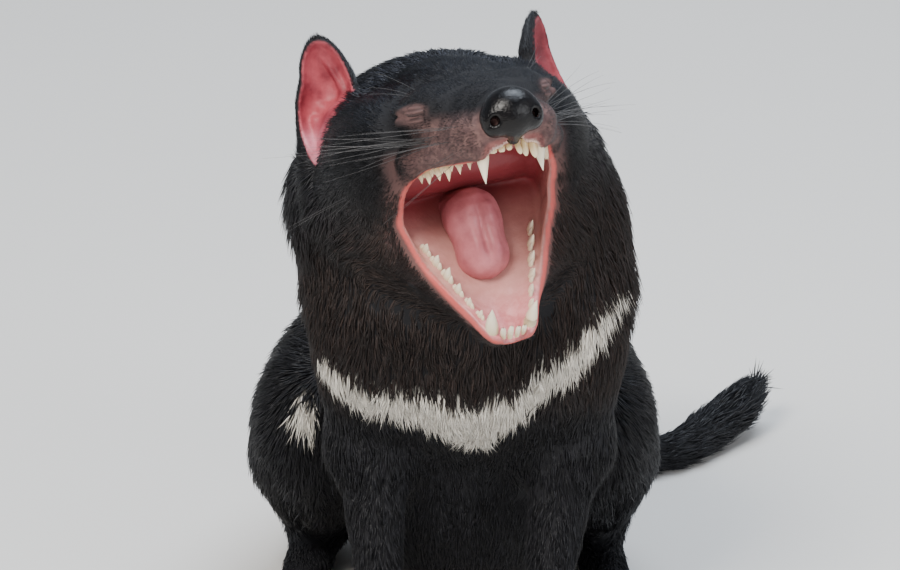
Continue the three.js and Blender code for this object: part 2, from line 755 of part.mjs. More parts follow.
const UPPER_TEETH = [
  [1.9, -92.8, 7.5, 1.6, 0],
  [5.2, -92.4, 7.2, 1.6, 0.3],
  [8.4, -91.4, 6.8, 1.5, 0.4],
  [13, -87.5, 15.5, 3.2, 2],
  [16.6, -79, 7.4, 2.5, 0.6],
  [19.4, -72, 8.4, 2.8, 0.6],
  [22.2, -64.5, 9.8, 3.4, 0.8],
  [24.6, -56.5, 10.4, 3.6, 0.8],
  [26.8, -48.5, 10, 3.6, 0.8],
  [28.6, -41.5, 7.6, 2.9, 0.6],
];
const LOWER_TEETH = [
  [1.7, -91.5, 6.2, 1.5, 0],
  [4.8, -91, 6, 1.5, 0.2],
  [9, -87.5, 15, 3.2, 2],
  [12, -79.5, 6.4, 2.5, 0.2],
  [14.6, -72.5, 7.4, 2.7, 0.2],
  [17.4, -65, 8.8, 3.3, 0.2],
  [20, -57, 9.4, 3.5, 0.2],
  [22.6, -49, 9.4, 3.5, 0.2],
  [25, -41.5, 8.8, 3.2, 0.2],
];
const upperTeeth = toothRow(headFrame, UPPER_GUM, -1, UPPER_TEETH);
const lowerTeeth = toothRow(jawFrame, LOWER_GUM, 1, LOWER_TEETH);

// A claw that comes out of the end of a toe and curves to the floor.
function claw([x, y, z], length) {
  const cone = new THREE.ConeGeometry(2.3, length + 5, 6, 3);
  cone.rotateX(Math.PI / 2);
  cone.translate(0, 0, length / 2 - 2.5);
  const place = cone.attributes.position;
  for (let i = 0; i < place.count; i++) {
    const along = clamp(place.getZ(i) / length, 0, 1);
    place.setY(i, place.getY(i) - along * along * 3.2);
  }
  cone.rotateX(Math.PI / 2);
  return cone.translate(x, y - 4, z + 0.6);
}

// Locks of fur that break the outline

// A lock that comes out of the coat at `root`, runs along `way` and bends a little towards the floor.
function lock({ root, way, length, radius, sunk = 4 }) {
  const cone = new THREE.ConeGeometry(radius, length + sunk, 5, 3);
  cone.translate(0, (length - sunk) / 2, 0);
  cone.scale(1, 1, 0.7);
  const along = vector(way).normalize();
  cone.applyQuaternion(new THREE.Quaternion().setFromUnitVectors(new THREE.Vector3(0, 1, 0), along));
  const place = cone.attributes.position;
  for (let i = 0; i < place.count; i++) {
    const far = clamp(along.dot(new THREE.Vector3().fromBufferAttribute(place, i)) / length, 0, 1);
    place.setZ(i, place.getZ(i) - far * far * length * 0.18);
  }
  return cone.translate(...root);
}

// Where a straight line from `from` along X meets the coat.
function landing([x, y, z], side) {
  let reach = x;
  for (let i = 0; i < 60; i++) reach -= side * Math.min(animal(reach, y, z), 4) * 0.8;
  return [reach, y, z];
}

const RUFF = { rows: 6, low: 209, rise: 4.6, near: 38, far: 54, length: 17, radius: 6.5 };
const ruffLocks = (side) =>
  Array.from({ length: RUFF.rows }, (_, i) =>
    lock({
      root: landing([side * 120, i % 2 ? RUFF.far : RUFF.near, RUFF.low + i * RUFF.rise], side),
      way: [side * 0.4, 0.5, -0.72],
      length: RUFF.length + 2 * (i % 3),
      radius: RUFF.radius,
    }),
  );

const BRUSH = { from: [147, 332, 16], way: [0.6, 0.76, 0.26], count: 9, ring: 6.5, length: 27, radius: 5.5 };
const brushLocks = Array.from({ length: BRUSH.count }, (_, i) => {
  const turn = (i / BRUSH.count) * 2 * Math.PI;
  const [dx, dy, dz] = BRUSH.way;
  const flat = Math.hypot(dx, dy);
  const out = [Math.cos(turn), Math.sin(turn)];
  const ray = [(out[0] * -dy) / flat, (out[0] * dx) / flat, out[1]];
  return lock({
    root: BRUSH.from.map((c, k) => c + BRUSH.ring * ray[k]),
    way: [dx + 0.3 * ray[0], dy + 0.3 * ray[1], dz + 0.3 * ray[2] + 0.06],
    length: BRUSH.length + 3 * (i % 2),
    radius: BRUSH.radius,
    sunk: 2,
  });
});

// Cuts that part the body, each with the side that it takes

const NECK_TOP = { point: [0, 50, 243], towards: [0, -0.62, 0.78] };
const NECK_BASE = { point: [5, 60, 196], towards: [0, -0.5, 0.87] };
const WAIST = { point: [5, 128, 160], towards: [0, 0.78, -0.62] };
const TAIL_ROOT = { point: [8, 266, 40], towards: [0.1, 0.9, -0.4] };
const TAIL_END = { point: [138, 321, 13], towards: [0.62, 0.76, 0.2] };
const WRIST_HEIGHT = 34;
const ANKLE_HEIGHT = 31;
const ELBOW_HEIGHT = 104;
const FORE_LEGS = { low: [-150, -60], high: [150, 76] }; // where the forelegs stand on the floor
const HIND_LEGS = { low: [-150, 60], high: [150, 235] };
const BETWEEN = [-9, 17]; // from side to side, the underside that shows between the forelegs

const plane = ({ point, towards }) => (grow) => beyond(point, towards, grow);
const slab = ([x0, y0, z0], [x1, y1, z1]) => (grow) => {
  const box = new THREE.BoxGeometry(x1 - x0 + 2 * grow, y1 - y0 + 2 * grow, z1 - z0 + 2 * grow);
  return solidOf(box.translate((x0 + x1) / 2, (y0 + y1) / 2, (z0 + z1) / 2));
};
const standing = ({ low, high }, height) => slab([...low, -40], [...high, height]);
const middle = slab([BETWEEN[0], -150, -50], [BETWEEN[1], 150, 150]);
const forearmCut = (grow) => standing(FORE_LEGS, ELBOW_HEIGHT)(grow).subtract(middle(-grow));
const slabIn = (frame, low, high) => (grow) => {
  const box = new THREE.BoxGeometry(...high.map((h, i) => h - low[i] + 2 * grow));
  box.translate(...high.map((h, i) => (h + low[i]) / 2));
  return solidOf(box.applyMatrix4(frame));
};
const shoulderCut = (side) => (grow) =>
  sideOval({ middle: [42, 150], height: 56, depth: 47, turn: 0, inner: 34 + side * 6, side }, grow);
const hipCut = (side) => (grow) =>
  sideOval({ middle: [150, 80], height: 74, depth: 80, turn: 0, inner: 46 - side * 2, side }, grow);

const oval = (frame, { at, size, turn = [0, 0, 0] }, facets = 16) => (grow) => {
  const ball = new THREE.SphereGeometry(1, facets, facets / 2);
  ball.scale(...size.map((s) => s + grow));
  return solidOf(ball.applyMatrix4(frame.clone().multiply(turned({ at, turn }))));
};
const still = new THREE.Matrix4();
// The white band on the chest: x, middle height, half height and how far back it goes, from right to left.
const BLAZE = [
  [-63, 168, 4, 33],
  [-46, 156, 7, 21],
  [-24, 150, 8, 12],
  [-6, 144, 12, 12],
  [14, 138.5, 13.5, 17],
  [28, 148, 10, 12],
  [42, 163, 9.5, 9],
  [60, 181, 8.5, 10],
  [76, 201, 4, 22],
];
const BLAZE_FRONT = -30;
function blazeCut(grow) {
  const spread = 1.8 * grow;
  const corners = BLAZE.flatMap(([x, z, half, back], i) => {
    const end = i === 0 ? -grow : i === BLAZE.length - 1 ? grow : 0;
    const [low, high] = [z - half - spread, z + half + spread];
    return [
      [x + end, BLAZE_FRONT, low],
      [x + end, BLAZE_FRONT, high],
      [x + end, back + grow, high],
      [x + end, back + grow, low],
    ];
  });
  const last = corners.length - 4;
  const faces = [0, 1, 2, 0, 2, 3, last, last + 2, last + 1, last, last + 3, last + 2];
  for (let i = 0; i < last; i += 4)
    for (let k = 0; k < 4; k++) {
      const [a, b] = [i + k, i + ((k + 1) % 4)];
      faces.push(a, b + 4, b, a, a + 4, b + 4);
    }
  const ribbon = new THREE.BufferGeometry();
  ribbon.setAttribute("position", new THREE.Float32BufferAttribute(corners.flat(), 3));
  ribbon.setIndex(faces);
  return solidOf(ribbon);
}
const noseCut = oval(headFrame, { at: [0, -104, 6], size: [18, 12, 15.5] });
const tongueCut = oval(jawFrame, { at: [0, -38, -2.5], size: [15, 28, 11.5], turn: [-8, 0, 0] });
const earCut = (name) => slabIn(headFrame.clone().multiply(earFrame[name]), [-21, -15, 17], [21, 15, 80]);
const eyeCut = (side) => {
  const place = onSide({ at: [31.5, -58.5, 15.6], turn: [0, -7, 45] }, side);
  return oval(headFrame.clone().multiply(place), { at: [0, 0, 0], size: [8.5, 5, 1.8] }, 10);
};

// The body, from coarse samples, without the paws and the head

const whole = aboveFloor(
  fieldSolid(animal, [[-115, -60, -6], [185, 385, 300]], 4.5, 4150),
);
const [blazeSolid, unmarked] = part(whole, blazeCut);
const [, belowHead] = part(unmarked, plane(NECK_TOP));
const [neckSolid, trunkAndLegs] = part(belowHead, plane(NECK_BASE));
const [tailSolid, noTail] = part(trunkAndLegs, plane(TAIL_ROOT));
const [tailTip, tailBase] = part(tailSolid, plane(TAIL_END));
const [foreArms, noForeArms] = part(noTail, forearmCut);
const [hindFeet, noFeet] = part(noForeArms, standing(HIND_LEGS, ANKLE_HEIGHT));
let rest = noFeet;
const upperLegs = {};
for (const [name, side] of Object.entries(SIDES)) {
  const [arm, afterArm] = part(rest, shoulderCut(side));
  const [thigh, afterThigh] = part(afterArm, hipCut(side));
  upperLegs[name] = { arm, thigh };
  rest = largest(afterThigh);
}
const [abdomenSolid, chestSolid] = part(rest, plane(WAIST));

// The head and the paws, from fine samples

const headSolid = fieldSolid(animal, [[-95, -95, 150], [100, 90, 345]], 2.0, 4350).intersect(
  plane(NECK_TOP)(0),
);
const [tongueSolid, noTongue] = part(headSolid, tongueCut);
const [noseSolid, noNose] = part(noTongue, noseCut);
let bare = noNose;
const senses = {};
for (const [name, side] of Object.entries(SIDES)) {
  const [ear, afterEar] = part(bare, earCut(name));
  const [eye, afterEye] = part(afterEar, eyeCut(side));
  senses[name] = { ear, eye };
  bare = afterEye;
}
const [jawSolid, aboveJaw] = part(bare, slabIn(jawFrame, [-37, -120, -40], [37, -36, 6]));
const nearSide = (solid, side) => solid.intersect(beyond([4, 0, 0], [side, 0, 0], -0.2));
const fore = standing(FORE_LEGS, WRIST_HEIGHT);
const hind = standing(HIND_LEGS, ANKLE_HEIGHT);

function pawSolid(leg, field, region, toes) {
  const [x, y] = leg.toe(0);
  const box = [[x - 30, y - 20, -4], [x + 62, y + 130, 44]];
  const solid = aboveFloor(fieldSolid(field, box, 2.1, 460)).intersect(region(0));
  const grown = toes.map((i) => solidOf(claw(leg.toe(i), 8)));
  return wasm.Manifold.union([largest(solid), ...grown]).subtract(floor);
}

// Finishes

const FINISH = {
  black_fur: { color: 0x17161a, roughness: 0.85 },
  white_fur: { color: 0xe6e1d6, roughness: 0.9 },
  ear_skin: { color: 0xb4505a, roughness: 0.6 },
  nose_leather: { color: 0x0c0b0d, roughness: 0.25 },
  tongue_pink: { color: 0xb85a62, roughness: 0.35 },
  eye_dark: { color: 0x0a0706, roughness: 0.1 },
};
const materials = Object.fromEntries(
  Object.entries(FINISH).map(([name, look]) => [name, new THREE.MeshStandardMaterial({ ...look, metalness: 0 })]),
);

const devil = new THREE.Group();
devil.name = "tasmanian_devil";

function addNode(name, finish, solid) {
  const mesh = new THREE.Mesh(geometryOf(largest(solid)), materials[finish]);
  mesh.name = name;
  devil.add(mesh);
}

const withParts = (solid, parts) => wasm.Manifold.union([largest(solid), ...parts]);
addNode("head", "black_fur", withParts(aboveJaw, upperTeeth.map(solidOf)));
addNode("lower_jaw", "black_fur", withParts(jawSolid, lowerTeeth.map(solidOf)));
addNode("tongue", "tongue_pink", tongueSolid);
addNode("nose", "nose_leather", noseSolid);
const ruff = Object.values(SIDES).flatMap(ruffLocks);
const neckRoom = plane(NECK_BASE)(0).subtract(plane(NECK_TOP)(GAP));
addNode("neck", "black_fur", withParts(neckSolid, ruff.map((l) => solidOf(l).intersect(neckRoom))));
addNode("chest", "black_fur", chestSolid);
addNode("chest_blaze", "white_fur", blazeSolid);
addNode("abdomen", "black_fur", abdomenSolid);
addNode("tail", "black_fur", tailBase);
const tipRoom = plane(TAIL_END)(0);
addNode("tail_tip", "black_fur", withParts(tailTip, brushLocks.map((l) => solidOf(l).intersect(tipRoom))));
Object.entries(SIDES).forEach(([name, side], i) => {
  addNode(name + "_ear", "ear_skin", senses[name].ear);
  addNode(name + "_eye", "eye_dark", senses[name].eye);
  addNode(name + "_upper_arm", "black_fur", upperLegs[name].arm);
  addNode(name + "_thigh", "black_fur", upperLegs[name].thigh);
  addNode(name + "_forearm", "black_fur", nearSide(foreArms.subtract(fore(GAP)), side));
  addNode(name + "_forepaw", "black_fur", pawSolid(foreLegs[name], legFields.fore[i], fore, [0, 1, 2, 3, 4]));
  addNode(name + "_hind_foot", "black_fur", pawSolid(hindLegs[name], legFields.hind[i], hind, [0, 1, 2, 3]));
});

// The origin goes to the middle of the model's box, on the floor.
const centre = new THREE.Box3().setFromObject(devil).getCenter(new THREE.Vector3());
devil.position.set(-centre.x, -centre.y, 0);

export default devil;
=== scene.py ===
"""Tasmanian devil, life size, sitting upright with its mouth wide open.

The skin is the surface of a field: ellipsoids and tapered limbs blended into one smooth body. Tufts of fur,
teeth, claws and whiskers are joined meshes made from arrays. Lengths are in millimetres in the animal's own
frame, where it faces -Y and +X is its left, and become metres in the row's frame when a mesh is made.
"""

import math

import bpy
import numpy as np
from mathutils import Matrix, Vector


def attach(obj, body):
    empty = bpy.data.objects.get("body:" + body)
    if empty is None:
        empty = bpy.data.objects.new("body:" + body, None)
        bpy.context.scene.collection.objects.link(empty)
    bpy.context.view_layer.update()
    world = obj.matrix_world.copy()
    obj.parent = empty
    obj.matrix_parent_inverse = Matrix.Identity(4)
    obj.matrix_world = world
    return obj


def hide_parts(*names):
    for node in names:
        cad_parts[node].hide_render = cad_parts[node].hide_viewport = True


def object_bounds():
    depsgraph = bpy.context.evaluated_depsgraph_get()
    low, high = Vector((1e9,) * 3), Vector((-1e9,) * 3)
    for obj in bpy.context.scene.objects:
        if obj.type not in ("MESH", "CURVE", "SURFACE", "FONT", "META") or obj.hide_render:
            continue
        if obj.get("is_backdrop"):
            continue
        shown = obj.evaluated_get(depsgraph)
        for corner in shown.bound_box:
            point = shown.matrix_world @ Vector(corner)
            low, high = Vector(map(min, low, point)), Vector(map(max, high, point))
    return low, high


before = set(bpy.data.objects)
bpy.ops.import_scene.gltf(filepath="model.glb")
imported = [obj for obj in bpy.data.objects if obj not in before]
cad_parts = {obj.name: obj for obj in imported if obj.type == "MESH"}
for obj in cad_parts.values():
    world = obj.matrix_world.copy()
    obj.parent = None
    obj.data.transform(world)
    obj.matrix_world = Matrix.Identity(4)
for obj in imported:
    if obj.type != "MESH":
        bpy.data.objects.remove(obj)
CAD_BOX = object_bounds()

bl_info = {
    "name": "Tasmanian devil",
    "version": (1, 0, 0),
    "blender": (4, 5, 0),
    "location": "View3D > Sidebar > Devil",
    "description": "Builds a life-size tasmanian devil with a coat of mesh tufts",
    "category": "Object",
}

ORIGIN = np.array([-37.718, -142.730, 0.0])  # from the animal's frame to the row's, in mm
BODY = "root"
LEFT, RIGHT = 1, -1

# Rotations and frames


def euler(turn):
    """Rotation matrix of angles about X, Y and Z in degrees."""
    a, b, c = np.radians(turn)
    rx = np.array([[1, 0, 0], [0, math.cos(a), -math.sin(a)], [0, math.sin(a), math.cos(a)]])
    ry = np.array([[math.cos(b), 0, math.sin(b)], [0, 1, 0], [-math.sin(b), 0, math.cos(b)]])
    rz = np.array([[math.cos(c), -math.sin(c), 0], [math.sin(c), math.cos(c), 0], [0, 0, 1]])
    return rx @ ry @ rz


class Place:
    """A rigid frame: `turn` takes its axes to the animal's, and `at` is its origin."""

    def __init__(self, turn=np.eye(3), at=(0, 0, 0)):
        self.turn = np.asarray(turn, float)
        self.at = np.asarray(at, float)

    def out(self, points):
        return np.asarray(points, float) @ self.turn.T + self.at

    def back(self, points):
        return (np.asarray(points, float) - self.at) @ self.turn

    def then(self, inner):
        return Place(self.turn @ inner.turn, self.out(inner.at))


JAW_HINGE = (0, 20, 265)
GAPE = 63
HEAD = Place(euler((0, 0, 17)) @ euler((-24, 0, 0)) @ euler((0, -6, 0)), JAW_HINGE)
JAW_TURN = Place(euler((GAPE, 0, 0)))
JAW = HEAD.then(JAW_TURN)

# Fields


def length(v):
    return np.sqrt(np.einsum("ij,ij->i", v, v))


def egg(at, size, turn=(0, 0, 0)):
    """Distance to an ellipsoid, near enough close to its surface."""
    at, size, axes = np.asarray(at, float), np.asarray(size, float), euler(turn)

    def field(p):
        u = ((p - at) @ axes) / size
        near = length(u)
        slope = np.maximum(length(u / size), 1e-9)
        return near * (near - 1) / slope

    return field


def limb(start, end, radii):
    """Distance to a round limb whose radius changes evenly."""
    a, b = np.asarray(start, float), np.asarray(end, float)
    along = b - a

    def field(p):
        t = np.clip((p - a) @ along / (along @ along), 0, 1)
        return length(p - a - t[:, None] * along) - (radii[0] + (radii[1] - radii[0]) * t)

    return field


def chain(*stops):
    """Limbs from stop to stop, where a stop holds x, y, z and the radius there."""
    return [limb(a[:3], b[:3], (a[3], b[3])) for a, b in zip(stops, stops[1:])]


def join(a, b, reach):
    """The smaller of two distances, rounded where they are nearly equal."""
    h = np.maximum(reach - np.abs(a - b), 0) / reach
    return np.minimum(a, b) - h * h * reach / 4


def blend(reach, *fields):
    """Smooth union of fields."""

    def field(p):
        d = fields[0](p)
        for other in fields[1:]:
            d = join(d, other(p), reach)
        return d

    return field


def carve(reach, field, tool):
    return lambda p: -join(-field(p), tool(p), reach)


def mirrored(field):
    return lambda p: field(np.column_stack((np.abs(p[:, 0]), p[:, 1:])))


def placed(place, field):
    return lambda p: field(place.back(p))


def within(at, radius, field, margin=45):
    """The field near a ball round it, and the distance to the ball further off."""

    def near(p):
        d = length(p - np.asarray(at, float)) - radius
        close = d < margin
        if close.any():
            d[close] = field(p[close])
        return d

    return near


def strand(points, steps, reach):
    """Round limbs along a smooth curve through points that hold x, y, z and a radius."""
    return blend(reach, *chain(*curve(np.asarray(points, float), steps)))


def curve(points, steps):
    """Even steps along a smooth spline through points."""
    padded = np.vstack((2 * points[0] - points[1], points, 2 * points[-1] - points[-2]))
    out = []
    for s in np.linspace(0, len(points) - 1, steps + 1):
        k = min(int(s), len(points) - 2)
        t = s - k
        a, b, c, d = padded[k : k + 4]
        bend, twist = 2 * a - 5 * b + 4 * c - d, 3 * b - a - 3 * c + d
        out.append(0.5 * (2 * b + (c - a) * t + bend * t**2 + twist * t**3))
    return np.array(out)


def smooth(low, high, x):
    """A soft step from 0 at `low` to 1 at `high`."""
    t = np.clip((x - low) / (high - low), 0, 1)
    return t * t * (3 - 2 * t)


def ripple(p, scale, seed):
    """Soft noise from -1 to 1, made of crossed waves."""
    rng = np.random.default_rng(seed)
    total = np.zeros(len(p))
    for _ in range(5):
        wave = rng.normal(size=3)
        wave *= rng.uniform(0.7, 1.5) / np.linalg.norm(wave) / scale
        total += np.sin(p @ wave * 2 * math.pi + rng.uniform(0, 6.28))  # 6.28 is a full turn
    return total / 3


# Head, in its own frame: origin at the jaw hinge, nose towards -Y

UPPER_GUM, LOWER_GUM = -8, -10  # heights of the tooth rows, in the head's and the jaw's frame
THROAT = 17  # how near the hinge the mouth reaches


def on_jaw(x, y, z, radius):
    """A stop of a chain, from the jaw's own frame to the head's."""
    return (*JAW_TURN.out((x, y, z)), radius)


skull = blend(
    14,
    egg((0, 2, 10), (45, 44, 33)),
    egg((0, 20, 21), (38, 34, 23)),
    limb((0, -66, 8), (0, -18, 15), (16, 24)),
    egg((0, -70, 1), (24, 28, 15)),
    mirrored(egg((37, -9, 3), (24, 31, 27), (0, 0, -12))),
    mirrored(egg((21, -48, 16), (14, 18, 13))),
)
muzzle = blend(
    6,
    mirrored(egg((12, -82, 1.4), (12, 16, 8.4))),
    mirrored(limb((14.5, -88, -4.2), (33, -44, -3.2), (3.6, 5))),
    limb((-14.5, -88, -5.5), (14.5, -88, -5.5), (3.8, 3.8)),
    egg((0, -88, 7), (12.5, 14, 11)),
)
temple = mirrored(egg((41, 8, 20), (14, 18, 15)))
mandible = blend(
    7,
    mirrored(blend(7, *chain((7, -82, -17, 8), (27, -36, -19, 12), (31, 0, -13, 19)))),
    egg((0, -84, -17), (11, 10, 8.5)),
    egg((0, -52, -21), (22, 36, 9)),
    mirrored(limb((7, -89, -13), (31, -42, -13.5), (3.2, 5))),
    limb((-7, -89, -13), (7, -89, -13), (3.2, 3.2)),
)
cheek_fold = mirrored(
    blend(
        8,
        *chain((32, -44, -5, 5), (37, -19, -14, 5), on_jaw(31, -42, -13, 5)),
        *chain((36, -16, -8, 15), on_jaw(34, -18, -12, 14)),
    )
)


def row_half_width(reach):
    """Half the space between the tooth rows, which opens towards the throat."""
    return np.clip(9.5 + (92 - reach) * 0.38, 5, 33)


def mouth_hollow(p):
    """The gape: a wedge about the jaw hinge with a vaulted palate and a trough between the lower teeth."""
    side = np.abs(p[:, 0])
    reach = np.hypot(p[:, 1], p[:, 2])
    row = row_half_width(reach)
    dome = np.clip(1 - (side / (row - 3)) ** 2, 0, 1)
    roof = UPPER_GUM + 6 * dome - p[:, 2]
    roof += 0.7 * dome * np.cos(reach * 2 * math.pi / 7.5)  # ridges across the palate
    round_hinge = np.arctan2(-p[:, 2], -p[:, 1])
    folds = 0.4 * np.cos(round_hinge * 13 + 0.6 * np.sin(reach / 7)) * smooth(20, 34, reach)
    low = JAW_TURN.back(p)[:, 2] - LOWER_GUM + 6 * dome
    return -join(join(roof, low, 3), join(row + 1.5 + folds - side, reach - THROAT, 6), 4)


tongue_body = blend(7, *chain((0, -14, -25, 10), (0, -31, -6.5, 11.2), (0, -48, -11, 12)))


def tongue(p):
    """The tongue, with a groove along its middle, a ridge on each side of it, and shallow dents."""
    side = np.abs(p[:, 0])
    groove = 1.5 * np.exp(-((side / 1.5) ** 2)) - 1.1 * np.exp(-(((side - 5) / 2.4) ** 2))
    groove_fades = smooth(-60, -50, p[:, 1]), smooth(-26, -36, p[:, 1])
    return tongue_body(p) + groove * groove_fades[0] * groove_fades[1] + 0.25 * ripple(p, 9, 41)


nose_pad = carve(
    1.6,
    carve(
        1.4,
        blend(
            3,
            egg((0, -99, 6.7), (12.6, 10, 11)),
            mirrored(egg((9, -98.5, 3.4), (5, 7, 6.2))),
            limb((0, -98.5, -1), (0, -95, -4.5), (4, 2.8)),
        ),
        limb((0, -111, -1), (0, -98, -8), (0.8, 0.8)),
    ),
    mirrored(
        blend(
            1.5,
            limb((10, -109, 4.2), (8.6, -100, 3.2), (2.2, 1.7)),
            limb((10.2, -106.5, 3.4), (15.5, -101.5, 0.2), (1.3, 0.9)),
        )
    ),
)
lid_mounds = mirrored(
    blend(
        1.5,
        limb((24.5, -62, 16.6), (35, -51, 19.6), (2.0, 2.3)),
        limb((25, -61.5, 12.8), (36, -51, 14.6), (1.8, 2.0)),
    )
)
EAR_SIZE = (13.1, 7.5, 46)  # half its width, half its depth, and its height
LOBE_AT, LOBE_SIZE = (9.2, 6.4), (9.4, 6.8, 22.8)  # lower part of the ear, out and up from its root
EARS = (
    (LEFT, Place(euler((5.8, 7.5, 53.5)), (49.6, 16.3, 7.8))),
    (RIGHT, Place(euler((4.6, -3.6, -24.1)), (-44.8, 14.1, 15.8))),
)


def ear_hollow(side):
    """The space that the ear's shell opens round, in the ear's frame."""
    wide, deep, tall = EAR_SIZE
    out, up = LOBE_AT
    lobe_wide, _, lobe_tall = LOBE_SIZE
    return blend(
        4,
        egg((0, -deep * 0.92, tall * 0.48), (wide * 0.84, deep * 1.5, tall * 0.56)),
        egg((side * out, -deep * 0.92, up + 2), (lobe_wide * 0.74, deep * 1.4, lobe_tall * 0.8)),
    )


def ear(side):
    """One ear in its own frame: a shell, hollow in front, with folds in the hollow."""
    wide, deep, tall = EAR_SIZE
    shell = blend(
        4,
        egg((0, 0, tall * 0.42), (wide, deep, tall * 0.62)),
        egg((side * LOBE_AT[0], 0, LOBE_AT[1]), LOBE_SIZE),
    )
    folds = blend(
        2,
        *chain((side * -1, 2.4, 38, 1.2), (side * -7, 1.8, 20, 1.9), (side * -5, 2.4, 4, 1.6)),
        limb((side * -4, 3, 13), (side * 6, 3, 17), (1.8, 1.3)),
        limb((side * 10, 1.4, 12), (side * 7, 2.6, -4), (1.2, 1.6)),
    )
    return blend(1.6, carve(1.5, shell, ear_hollow(side)), folds)


ears = blend(2, *[placed(place, ear(side)) for side, place in EARS])

# Body

PELVIS = (1, 214, 82)
neck = blend(
    30,
    egg((4, 50, 217), (69, 60, 58)),
    egg((3, 62, 248), (60, 46, 40)),
    egg((-41, 34, 243), (26, 32, 33), (0, 12, 0)),
    egg((43, 40, 233), (25, 32, 35), (0, -12, 0)),
)
trunk = blend(
    34,
    egg((8, 58, 176), (62, 62, 72)),
    egg((6, 92, 196), (62, 66, 58), (30, 0, 0)),
    egg((4, 150, 132), (68, 72, 68), (40, 0, 0)),
    egg((5, 118, 84), (56, 70, 76)),
    egg(PELVIS, (66, 60, 78)),
)


def fore_leg(side):
    """The field of a foreleg, and the ends of its toes."""
    x, y = (41, -4) if side == LEFT else (-32, 2)
    shoulder, elbow, wrist = (8 + side * 42, 40, 178), (8 + side * 46, 52, 112), (x, y + 16, 30)
    toes = [(x - side * 2 + (i - 2) * 9.4, y - 24 + abs(i - 2) * 2.8, 6.6) for i in range(5)]
    field = blend(
        12,
        blend(
            18,
            egg((shoulder[0] + side * 2, 40, 178), (27, 40, 46)),
            limb(shoulder, elbow, (30, 23)),
        ),
        limb(elbow, wrist, (20, 11)),
        blend(
            4,
            limb(wrist, (x, y + 6, 14), (11, 11)),
            egg((x, y - 2, 9), (20, 20, 11)),
            *[limb((x + 0.7 * (t[0] - x), y - 6, 9), t, (6, 5)) for t in toes],
        ),
    )
    return field, toes


def hind_leg(side):
    """The field of a hind leg, and the ends of its toes."""
    x, y = (78, 88) if side == LEFT else (-74, 92)
    knee, heel = (PELVIS[0] + side * 72, 122, 92), (x - side * 8, y + 92, 15)
    toes = [(x + (i - 1.5) * 9.8, y + abs(i - 1.5) * 2.4, 6.5) for i in range(4)]
    field = blend(
        12,
        blend(
            20,
            egg((PELVIS[0] + side * 60, 160, 84), (36, 60, 56), (20, 0, side * 10)),
            egg(knee, (24, 30, 34)),
        ),
        limb((knee[0], knee[1] + 16, 70), (heel[0], heel[1] - 4, 24), (27, 16)),
        blend(
            4,
            limb(heel, (x, y + 18, 9.5), (13, 11)),
            egg((x, y + 16, 8.5), (19, 22, 10)),
            *[limb((x + 0.7 * (t[0] - x), y + 16, 9), t, (6, 5.2)) for t in toes],
        ),
    )
    return field, toes


TAIL = [  # x, y, z and radius, from the root to the tip
    (3, 246, 52, 27),
    (10, 274, 28, 20),
    (42, 288, 13.5, 14),
    (82, 284, 10.5, 11),
    (114, 294, 9.5, 10),
    (134, 316, 11.5, 12),
    (150, 336, 17, 12),
    (160, 350, 22, 7),
]
FORE_LEGS = [fore_leg(LEFT), fore_leg(RIGHT)]
HIND_LEGS = [hind_leg(LEFT), hind_leg(RIGHT)]
body = blend(
    18,
    trunk,
    neck,
    within((41, 30, 110), 135, FORE_LEGS[0][0]),
    within((-17, 30, 110), 135, FORE_LEGS[1][0]),
    within((74, 145, 70), 120, HIND_LEGS[0][0]),
    within((-70, 145, 70), 120, HIND_LEGS[1][0]),
    within((80, 300, 30), 110, strand(TAIL, 16, 8)),
)

# The coat's depth, and the skin under it


def head_depth(q):
    """Depth of the coat on the head, at points in the head's frame."""
    return 2.3 - 1.8 * smooth(-28, -66, q[:, 1])


def body_depth(p):
    """Depth of the coat on the body: least on the paws, most on the tail's brush."""
    paws = smooth(60, 22, p[:, 2]) * smooth(250, 230, p[:, 1])
    brush = smooth(124, 150, p[:, 0]) * smooth(290, 320, p[:, 1])
    return 3.4 - 2.4 * paws + 2.2 * brush


face = blend(9, skull, muzzle, cheek_fold, placed(JAW_TURN, mandible), temple)
lips = mirrored(
    blend(
        2,
        *chain(
            (0, -92.6, -6, 2),
            (9, -92, -6, 2),
            (15, -88, -5.6, 2.2),
            (33, -44, -5, 2.6),
            (36, -22, -13.5, 3),
        ),
        *chain(
            (36, -22, -14, 3),
            on_jaw(33, -40, -12, 3),
            on_jaw(11.5, -82, -12, 2.6),
            on_jaw(7, -89.5, -12, 2.4),
            on_jaw(0, -92.5, -12, 2.4),
        ),
    )
)
gums = mirrored(
    blend(
        2,
        *chain((3, -90.5, -5.5, 3.2), (13, -86, -5.5, 3.4), (27, -42, -5, 4.2)),
        *chain(on_jaw(2, -89, -12, 3), on_jaw(9, -86, -12, 3.6), on_jaw(24, -40, -12, 4.4)),
    )
)


def head_skin(q):
    """The skin of the head without nose, ears and lids, with the mouth open in it."""
    d = face(q) + head_depth(q)
    d = -join(-join(d, lips(q), 3), mouth_hollow(q), 2.2)
    return join(d, gums(q), 2)


FAR = 60.0  # a distance too large to blend with


def skin(p):
    """The whole skin, bare of its coat, above the floor."""
    q = HEAD.back(p)
    d_head = np.full(len(p), FAR)
    near = length(p - np.array(JAW_HINGE, float)) < 175
    if near.any():
        qn = q[near]
        d = head_skin(qn)
        d = join(d, nose_pad(qn), 2)
        d = join(d, ears(qn), 4)
        d_head[near] = join(d, lid_mounds(qn), 2.5)
    d = join(body(p) + body_depth(p), d_head, 20)
    inside_mouth = mouth_hollow(q) if near.any() else np.full(len(p), FAR)
    d = np.where(near, -join(-d, inside_mouth, 1.5), d)
    return np.maximum(d, 0.4 - p[:, 2])


